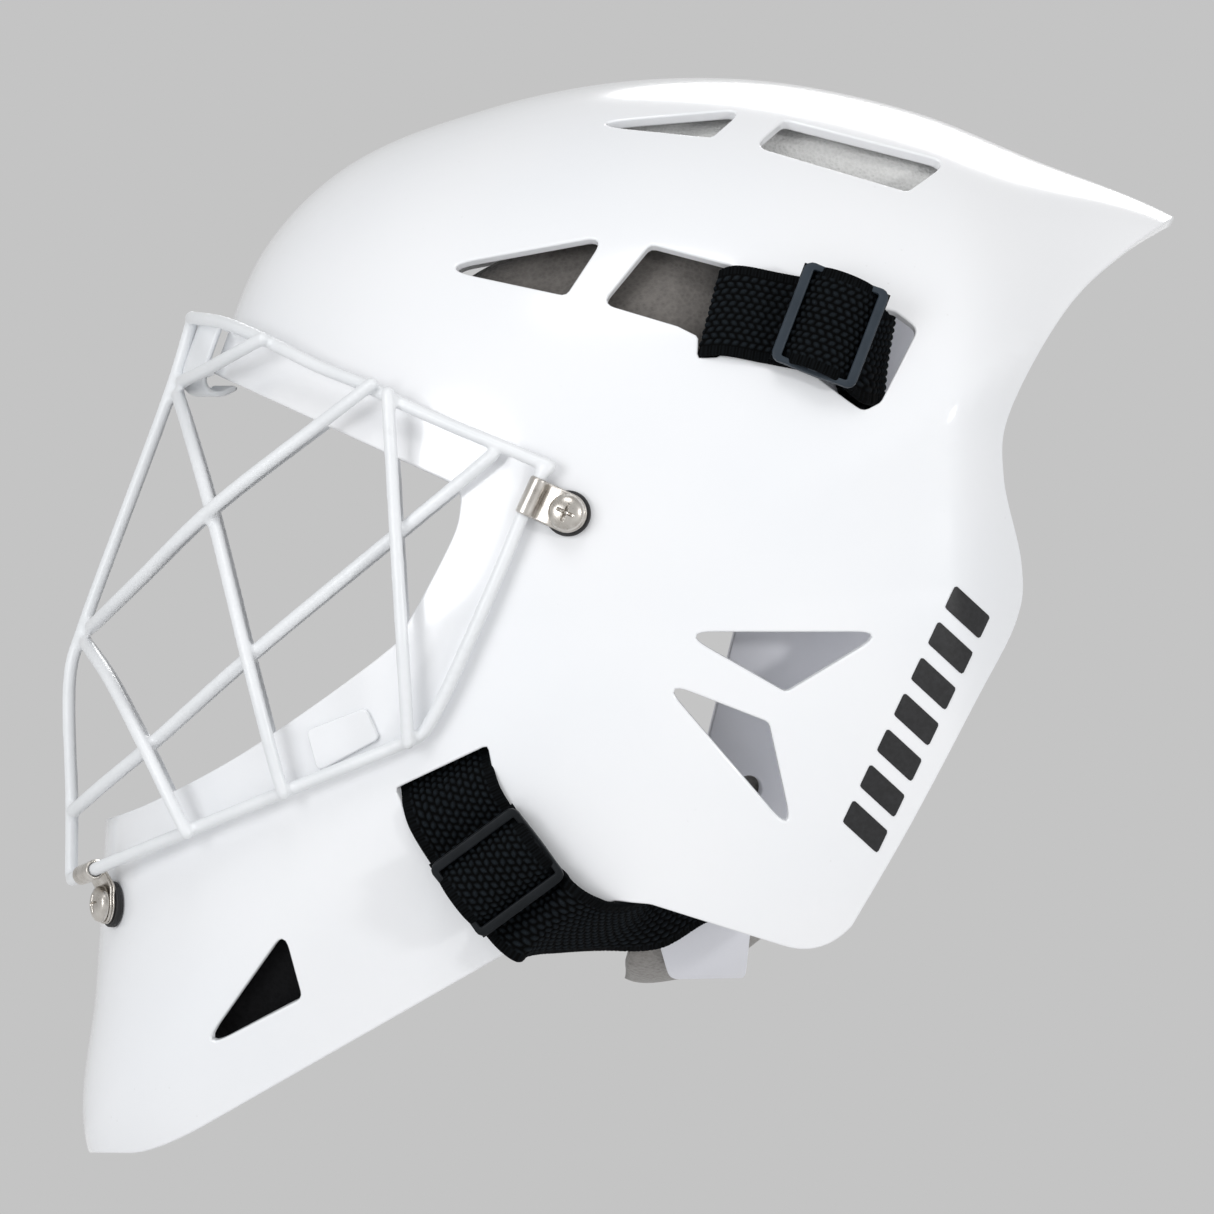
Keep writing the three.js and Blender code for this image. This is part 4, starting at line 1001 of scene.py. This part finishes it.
def washer():
    """A flat ring with rounded edges, a little squeezed at its rim."""
    low, high, e = 0.25, 0.25 + WASHER_HEIGHT, 0.45
    outer, inner = WASHER_OUTER / 2, WASHER_INNER / 2
    quarter = np.linspace(0, np.pi / 2, 5)
    radii = np.concatenate([
        [inner], outer - e + e * np.sin(quarter), outer - e + e * np.cos(quarter), [inner]])
    heights = np.concatenate([
        [low], low + e - e * np.cos(quarter), high - e + e * np.sin(quarter), [high]])
    sides = 64
    turn = full_turn(sides)
    points = np.stack([
        radii[:, None] * np.cos(turn), radii[:, None] * np.sin(turn), heights[:, None] + 0 * turn], axis=-1)
    return points.reshape(-1, 3), [grid_faces(len(radii), sides, True, True)]


def side_pair(shape):
    """A shape of the left side and its mirror image, with the names of their sides."""
    return (("left", shape), ("right", mirror_right(*shape)))


for where, clip in CLIPS.items():
    clip_frame = clip_seat(clip["screw"], clip["along"])
    wire_x, wire_z = clip["wire"]
    wire_middle = np.array([wire_x, -float(CAGE.half_width(np.array(wire_x), np.array(wire_z))), wire_z])
    local = clip_frame[1] @ (wire_middle - clip_frame[0])
    for kind, (points, faces), finish, slot_name in (
        ("clip", clip_strip(local[0], local[2]), STEEL_FINISH, "steel"),
        ("screw", pan_head_screw(), STEEL_FINISH, "steel"),
        ("washer", washer(), RUBBER_FINISH, "rubber"),
    ):
        for side, shape in side_pair((in_seat(points, clip_frame), faces)):
            settle(
                add_piece(f"{where}_bent_{kind}_{side}", *shape, finish), BODY, slot_name,
                f"{where}_{kind}_{side}",
            )

BRACKET_PATH = [(-121, 240.2), (-124, 232), (-125.8, 226), (-125.6, 222.6), (-123.6, 220.4), (-120.4, 220.2),
                (-116.8, 221.9)]
BRACKET_WIDTH, BRACKET_SHEET, BRACKET_BOW = 28.0, 1.6, 6.0


def bow_bracket():
    """The bent sheet behind the cage's top: its side path carried across, and bowed back by the square of
    the distance from the middle."""
    path = curve_through([(x, 0, z) for x, z in BRACKET_PATH], 200)
    path, _, v, half = strip_along(path, BRACKET_WIDTH, BRACKET_SHEET, 0.6, 0.5)
    bow = BRACKET_BOW * (v / (BRACKET_WIDTH / 2)) ** 2
    across = np.stack([bow, v, 0 * v], axis=-1)
    return two_faced(path[:, None] + across[None], half)


settle(add_piece("bowed_brow_bracket", *bow_bracket(), CAGE_FINISH), BODY, "cage", "brow_bracket")


# ---------------------------------------------------------------- straps
EDGE_BAND, RIB_PITCH, KNIT_COLUMN, KNIT_PITCH, KNIT_LEAN = 3.4, 0.95, 2.0, 2.5, 0.32


def knit(u, v, width):
    """Height of the elastic's face, -1 to 1. Across both edge bands run fine ribs, |sin| of the place
    along. Between them are columns of ovals, |sin| along times sin across, each column shifted by half an
    oval from the next and leaning the other way."""
    edge = ease((np.abs(v) - (width / 2 - EDGE_BAND)) / 0.5)
    ribs = np.abs(np.sin(np.pi * u / RIB_PITCH)) ** 0.7
    column = v / KNIT_COLUMN + 0.5
    number, place = np.floor(column), column - np.floor(column)
    odd = number % 2
    lean = np.where(odd == 0, 1, -1) * KNIT_LEAN * (place - 0.5)
    ovals = np.abs(np.sin(np.pi * (u / KNIT_PITCH + 0.5 * odd + lean))) ** 0.8 * np.sin(np.pi * place) ** 0.6
    return (ribs * 0.55 * edge + ovals * (1 - edge)) * 2 - 1


def strap_station(dome, place, lift, across, drape=0.0):
    """A strap's middle point on a dome with the direction of its width laid on the surface, and how far
    the strap takes up the surface's curve across its width."""
    point, normal = (value[0] for value in dome.at(*place, lift))
    across = np.asarray(across, float)
    return [*point, *unit(across - (across @ normal) * normal), drape, lift]


HALF = STRAP_THICKNESS / 2
OUTSIDE, INSIDE = HALF + 0.15, -WALL - HALF - 2.2
ON_PLATE = HALF + 0.3 + PLATE_SURFACE
UP_ACROSS, SLIDE_ACROSS = (0.227, 0, 0.974), (0.343, 0, 0.939)
JAW_ACROSS, JAW_SLIDE_ACROSS = (0.906, 0, 0.423), (0.84, 0, 0.54)
UPPER_PLATE_ACROSS, LOWER_PLATE_ACROSS = (0.1, -0.3, 0.95), (-0.15, -0.3, 0.93)
UPPER_STATIONS = [
    strap_station(SHELL, (50, 240.4), INSIDE, UP_ACROSS),
    strap_station(SHELL, (38, 242), INSIDE, UP_ACROSS),
    strap_station(SHELL, (30, 242.8), INSIDE + 0.4, UP_ACROSS),
    strap_station(SHELL, (26.6, 243.3), -WALL / 2, UP_ACROSS),
    strap_station(SHELL, (30, 242.9), OUTSIDE, UP_ACROSS, 0.6),
    strap_station(SHELL, (44, 240.6), OUTSIDE, UP_ACROSS, 1),
    strap_station(SHELL, (60.5, 237), OUTSIDE, SLIDE_ACROSS, 1),
    strap_station(SHELL, (67, 235), OUTSIDE - 0.7, SLIDE_ACROSS, 0.3),
    strap_station(SHELL, (73, 232.5), -4.5, SLIDE_ACROSS),
    [76.4, -86, 230.5, 0.2, 0.05, 0.97, 0, 0],
    [76.2, -76, 229.5, *UPPER_PLATE_ACROSS, 0, 0],
    [73.6, -67.4, 229, *UPPER_PLATE_ACROSS, 0, 0],
    strap_station(PLATE, (69.4, 228.5), ON_PLATE + 0.1, UPPER_PLATE_ACROSS),
    strap_station(PLATE, (61.5, 228), ON_PLATE, UPPER_PLATE_ACROSS),
]
LOWER_STATIONS = [
    strap_station(SHELL, (-58.2, 125.4), INSIDE - 0.8, JAW_ACROSS),
    strap_station(SHELL, (-53.3, 114.6), INSIDE - 1.2, JAW_ACROSS),
    strap_station(SHELL, (-51.3, 110.2), -WALL - 1.9, JAW_ACROSS),
    strap_station(SHELL, (-49.3, 106), -0.6, JAW_ACROSS),
    strap_station(SHELL, (-47.3, 101.8), OUTSIDE, JAW_ACROSS, 0.6),
    strap_station(SHELL, (-41.4, 92), OUTSIDE, JAW_SLIDE_ACROSS, 1),
    strap_station(SHELL, (-34.6, 82.4), OUTSIDE + 0.1, JAW_SLIDE_ACROSS, 1),
    strap_station(SHELL, (-28.4, 74.8), OUTSIDE + 0.2, (0.8, 0, 0.6), 0.3),
    [-21.4, -98.2, 68, 0.75, -0.28, 0.6, 0, 0],
    [-12.2, -90.4, 66, 0.52, -0.7, 0.49, 0, 0],
    [1, -81, 67, 0.25, -0.84, 0.47, 0, 0],
    [11.8, -75, 71.4, 0, -0.62, 0.78, 0, 0],
    strap_station(PLATE, (22.5, 79.3), ON_PLATE + 1, LOWER_PLATE_ACROSS),
    strap_station(PLATE, (31, 81.5), ON_PLATE, LOWER_PLATE_ACROSS),
    strap_station(PLATE, (39, 83.5), ON_PLATE, LOWER_PLATE_ACROSS),
]
KNIT_GRID, KNIT_RELIEF = 0.4, 0.5
KNIT_CORE = STRAP_THICKNESS * 0.86  # the strap's thickness without the knit's relief


def strap_shape(stations, on_shell=True, width=STRAP_WIDTH):
    """A knitted strap through its stations: the width lies square to the path, and where the strap lies
    on the shell each point is moved to the shell's surface at its own place in the side view."""
    path, u, v, half = strip_along(curve_through(stations, 900), width, KNIT_CORE, KNIT_GRID, 0.8)
    middle, drape, lift = path[:, :3], path[:, 6], path[:, 7]
    ahead = unit(np.gradient(middle, u, axis=0))
    across = unit(path[:, 3:6] - (path[:, 3:6] * ahead).sum(1, keepdims=True) * ahead)
    surface = middle[:, None] + across[:, None] * v[None, :, None]
    if on_shell:
        x, z = surface[..., 0], surface[..., 2]
        laid = SHELL.at(x.ravel(), z.ravel(), np.repeat(lift, len(v)))[0].reshape(surface.shape)
        share = drape[:, None, None]
        surface = surface * (1 - share) + laid * share
    face = knit(u[:, None], v[None, :], width)
    heights = np.concatenate([face.ravel(), face[~rim_of(*face.shape)]])
    return two_faced(surface, half, KNIT_RELIEF * face), heights


SLIDE_LEAN = np.array([0, -0.8, 0])


def slide_seat(x, z, direction, lift):
    """A slide's frame over its strap: it leans from the surface's normal towards straight sideways."""
    point, normal = (value[0] for value in SHELL.at(x, z, lift))
    return seat(point, unit(normal + SLIDE_LEAN), np.array(direction))


SLIDE_SEATS = {
    "upper": slide_seat(60, 237.5, (0.934, 0, -0.358), 1.2),
    "lower": slide_seat(-34, 83.5, (0.592, 0, -0.806), 1.4),
}
SLIDE_LONG, SLIDE_WIDE, SLIDE_BAR, SLIDE_SIDE, SLIDE_CORNER = 26.0, 31.0, 3.0, 1.9, 3.2
SLIDE_SAG, SLIDE_SQUARENESS = 1.1, 0.38


def slide_shape():
    """A slide: a closed bar round a rectangle with round corners, and a middle bar. The bar's section is a
    rounded rectangle, wider at the two ends than at the sides, and the sides bow down to the strap."""
    half_x, half_y = SLIDE_LONG / 2 - SLIDE_BAR / 2, SLIDE_WIDE / 2 - SLIDE_SIDE / 2
    outline = []
    inward = SLIDE_CORNER - SLIDE_BAR / 2
    for index, (along, aside) in enumerate([(1, 1), (-1, 1), (-1, -1), (1, -1)]):
        turn = np.radians(np.linspace(0, 90, 9)) + index * np.pi / 2
        middle = np.array([along * (half_x - inward), aside * (half_y - inward)])
        outline.append(middle + inward * np.stack([np.cos(turn), np.sin(turn)], axis=-1))
    ring = np.vstack([*outline, outline[0][:1]])
    run = run_along(ring)
    wanted = np.linspace(0, run[-1], 140, endpoint=False)
    x, y = (np.interp(wanted, run, ring[:, k]) for k in (0, 1))
    middle_line = np.stack([x, y], axis=-1)
    ahead = unit(np.roll(middle_line, -1, axis=0) - np.roll(middle_line, 1, axis=0))
    out = np.stack([ahead[:, 1], -ahead[:, 0]], axis=-1)
    endness = np.abs(out[:, 0])
    half_section = (SLIDE_SIDE + (SLIDE_BAR - SLIDE_SIDE) * endness) / 2
    sag = SLIDE_SAG * (1 - ease(np.abs(x) / half_x)) * (1 - endness)
    sides, rows = 20, 12
    turn = full_turn(sides)
    across, up = (np.sign(f(turn)) * np.abs(f(turn)) ** SLIDE_SQUARENESS for f in (np.cos, np.sin))
    points = np.empty((len(x), sides, 3))
    points[..., :2] = middle_line[:, None] + out[:, None] * (half_section[:, None] * across)[..., None]
    points[..., 2] = SLIDE_LIFT + SLIDE_THICKNESS / 2 + SLIDE_THICKNESS / 2 * up[None] - sag[:, None]
    frame_part = points.reshape(-1, 3), [grid_faces(len(x), sides, True, True)]
    bar = np.empty((rows, sides, 3))
    bar[..., 0] = SLIDE_BAR / 2 * across[None]
    bar[..., 1] = np.linspace(-half_y, half_y, rows)[:, None]
    bar[..., 2] = SLIDE_LIFT + SLIDE_THICKNESS / 2 - 0.2 + 0.9 * up[None]
    ends = np.array([np.arange(sides), np.arange(sides)[::-1] + (rows - 1) * sides])
    bar_faces = [grid_faces(rows, sides, closed_columns=True), ends]
    return joined_parts([frame_part, (bar.reshape(-1, 3), bar_faces)])


LOOP_PROFILE = [(-13.2, 3.6), (-11.2, 4.1), (-8.6, 6.1), (-5.2, 9.1), (-1.8, 10.3), (1.8, 10.3), (5.2, 9.1),
                (8.6, 6.1), (11.2, 4.1), (13.2, 3.6)]
LOOP_WIDTH = 30.4


def loop_shape(shift):
    """The webbing's turn over the slide's middle bar: it comes up from under one end bar, crowns, and
    goes down under the other, shifted a little towards one side."""
    stations = [[x, shift, z, 0, 1, 0, 0, 0] for x, z in LOOP_PROFILE]
    return strap_shape(stations, on_shell=False, width=LOOP_WIDTH)


slide_outline = slide_shape()
# Each strap's free part runs between the shell and the plate; its two ends are given but not used.
STRAP_SETS = {
    "upper": {
        "stations": UPPER_STATIONS, "slide": UPPER_SLIDE_FINISH, "width": STRAP_WIDTH,
        "free": ((75.5, 90, 231), (73.6, 69, 229)), "loop_shift": 0.3,
    },
    "lower": {
        "stations": LOWER_STATIONS, "slide": LOWER_SLIDE_FINISH, "width": STRAP_WIDTH + 1.6,
        "free": ((-30, 100, 74), (14, 74, 72)), "loop_shift": -0.3,
    },
}
for level, strap_set in STRAP_SETS.items():
    shape, heights = strap_shape(strap_set["stations"], width=strap_set["width"])
    for side, placed in side_pair(shape):
        strap = settle(
            add_piece(f"{level}_elastic_{side}", *placed, WEBBING_FINISH, heights=heights), None, "webbing",
            f"{level}_strap_{side}",
        )
        sign = -1 if side == "left" else 1
        start, end = ((x * MM, sign * y * MM, z * MM) for x, y, z in strap_set["free"])
        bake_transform(strap)
    (loop_points, loop_faces), loop_heights = loop_shape(strap_set["loop_shift"])
    for kind, (points, faces), finish, slot_name, node_name, heights in (
        ("slide_frame", slide_outline, strap_set["slide"], "slide", "slide", None),
        ("elastic_loop", (loop_points, loop_faces), WEBBING_FINISH, "webbing", "strap_loop", loop_heights),
    ):
        for side, shape in side_pair((in_seat(points, SLIDE_SEATS[level]), faces)):
            settle(
                add_piece(f"{level}_{kind}_{side}", *shape, finish, heights=heights),
                f"{level}_slide_body_{side}", slot_name, f"{level}_{node_name}_{side}",
            )


# ---------------------------------------------------------------- padding
PAD_VOXEL, PAD_INSET, PAD_SMOOTHING = 4.5, 1.2, 3
PAD_SWELL = 3.0  # no point goes further than this
PAD_PRESSURE, PAD_FRAMES = 4, 20


def stuffed(name, node, material, body, slot_name):
    """A foam pad from its CAD solid: remeshed, drawn in by the inset, swollen by cloth pressure with no
    point going further than the swell, smoothed and subdivided once."""
    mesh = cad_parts[node].data.copy()
    pad = put_in_scene(name, mesh)
    mesh.materials.clear()
    mesh.materials.append(material)
    weld = pad.modifiers.new("weld", "WELD")
    weld.merge_threshold = 1e-5
    add_remesh(pad, PAD_VOXEL)
    bake_modifiers(pad)
    count = len(pad.data.vertices)
    rest, normals = np.empty(count * 3), np.empty(count * 3)
    pad.data.vertices.foreach_get("co", rest)
    pad.data.vertex_normals.foreach_get("vector", normals)
    rest = rest.reshape(-1, 3) - normals.reshape(-1, 3) * PAD_INSET * MM
    pad.data.vertices.foreach_set("co", rest.ravel())
    pad.data.update()
    cloth = pad.modifiers.new("cloth", "CLOTH")
    cloth.settings.use_pressure = True
    cloth.settings.uniform_pressure_force = PAD_PRESSURE
    cloth.settings.effector_weights.gravity = 0
    cloth.settings.quality = 4
    for number in range(1, PAD_FRAMES + 1):
        bpy.context.scene.frame_set(number)
    bake_modifiers(pad)
    bpy.context.scene.frame_set(1)
    moved = np.empty(count * 3)
    pad.data.vertices.foreach_get("co", moved)
    shift = moved.reshape(-1, 3) - rest
    reach = np.linalg.norm(shift, axis=1, keepdims=True)
    shift *= np.minimum(1, PAD_SWELL * MM / np.maximum(reach, 1e-9))
    pad.data.vertices.foreach_set("co", (rest + shift).ravel())
    pad.data.update()
    add_smoothing(pad, PAD_SMOOTHING)
    divide = pad.modifiers.new("divide", "SUBSURF")
    divide.levels = divide.render_levels = 1
    bake_modifiers(pad)
    settle(pad, body, slot_name, node)
    return pad


def stuffed_mirror(left, name, body, slot_name, node):
    """The right pad as the left one's mirror image."""
    mesh = left.data.copy()
    count = len(mesh.vertices)
    places = np.empty(count * 3)
    mesh.vertices.foreach_get("co", places)
    mesh.vertices.foreach_set("co", (places.reshape(-1, 3) * [1, -1, 1]).ravel())
    mesh.flip_normals()
    mesh.update()
    pad = put_in_scene(name, mesh)
    settle(pad, body, slot_name, node)


stuffed("crown_cushion", "crown_pad", FELT_FINISH, BODY, "felt")
stuffed("brow_cushion", "brow_pad", DARK_FOAM_FINISH, BODY, "dark_foam")
stuffed("plate_cushion", "back_plate_pad", GREY_FOAM_FINISH, PLATE_BODY, "grey_foam")
for pad_name, pad_finish, pad_body, pad_slot in (
    ("temple", DARK_FOAM_FINISH, BODY, "dark_foam"), ("cheek", DARK_FOAM_FINISH, BODY, "dark_foam"),
    ("chin", BLACK_FOAM_FINISH, BODY, "dark_foam"), ("neck", GREY_FOAM_FINISH, PLATE_BODY, "grey_foam"),
):
    left_pad = stuffed(f"{pad_name}_cushion_left", f"{pad_name}_pad_left", pad_finish, pad_body, pad_slot)
    stuffed_mirror(left_pad, f"{pad_name}_cushion_right", pad_body, pad_slot, f"{pad_name}_pad_right")


# ---------------------------------------------------------------- floor, light and camera
FLOOR_RADIUS, FLOOR_DEPTH, FLOOR_SIDES = 3000.0, 120.0, 96
LIGHT_AIM = (0, 0, 0.16)
WORLD_GREY = 0.552
LENS, SENSOR = 1650, 36
CAMERA_PLACE = (-0.0035, -16.13, 0.1583)


def floor():
    """A wide round floor well below the mask."""
    s = Shade("pale_floor")
    at = s.place()
    tone = s.mix(s.noise(at, 1.3, 3).clamped(0.3, 0.7), (0.74, 0.74, 0.74), (0.78, 0.78, 0.78))
    material = s.finish(tone, 0.9, s.bump(s.noise(at, 120, 3), 0.0003, 0.3))
    turn = full_turn(FLOOR_SIDES)
    level = np.full(FLOOR_SIDES, -FLOOR_DEPTH)
    ring = np.stack([FLOOR_RADIUS * np.cos(turn), FLOOR_RADIUS * np.sin(turn), level], axis=-1)
    add_piece("floor", ring, [np.arange(FLOOR_SIDES)[None]], material)


def soft_light(name, place, size, power, tone=(1, 1, 1)):
    """A round area light that looks at the middle of the mask."""
    data = bpy.data.lights.new(name, "AREA")
    data.shape, data.size, data.energy, data.color = "DISK", size, power, tone
    light = put_in_scene(name, data)
    light.location = place
    aim = Vector(LIGHT_AIM) - Vector(place)
    light.rotation_euler = aim.to_track_quat("-Z", "Y").to_euler()


floor()
world = bpy.data.worlds.new("even_grey")
world.use_nodes = True
world.node_tree.nodes["Background"].inputs["Color"].default_value = (WORLD_GREY, WORLD_GREY, WORLD_GREY, 1)
bpy.context.scene.world = world
bpy.context.scene.view_settings.view_transform = "Standard"
soft_light("key", (2.0, -2.0, 0.45), 0.3, 15)
soft_light("front", (-2.1, -2.7, 0.75), 1.7, 36, (0.975, 0.985, 1))
soft_light("top", (-0.2, -1.8, 2.6), 1.2, 16)
soft_light("rear", (0.6, 2.4, 1.8), 1.6, 30)

camera_data = bpy.data.cameras.new("side_camera")
camera_data.lens, camera_data.sensor_width = LENS, SENSOR
camera_data.clip_start, camera_data.clip_end = 1, 60
camera = put_in_scene("side_camera", camera_data)
camera.location = CAMERA_PLACE
camera.rotation_euler = (math.pi / 2, 0, 0)
bpy.context.scene.camera = camera
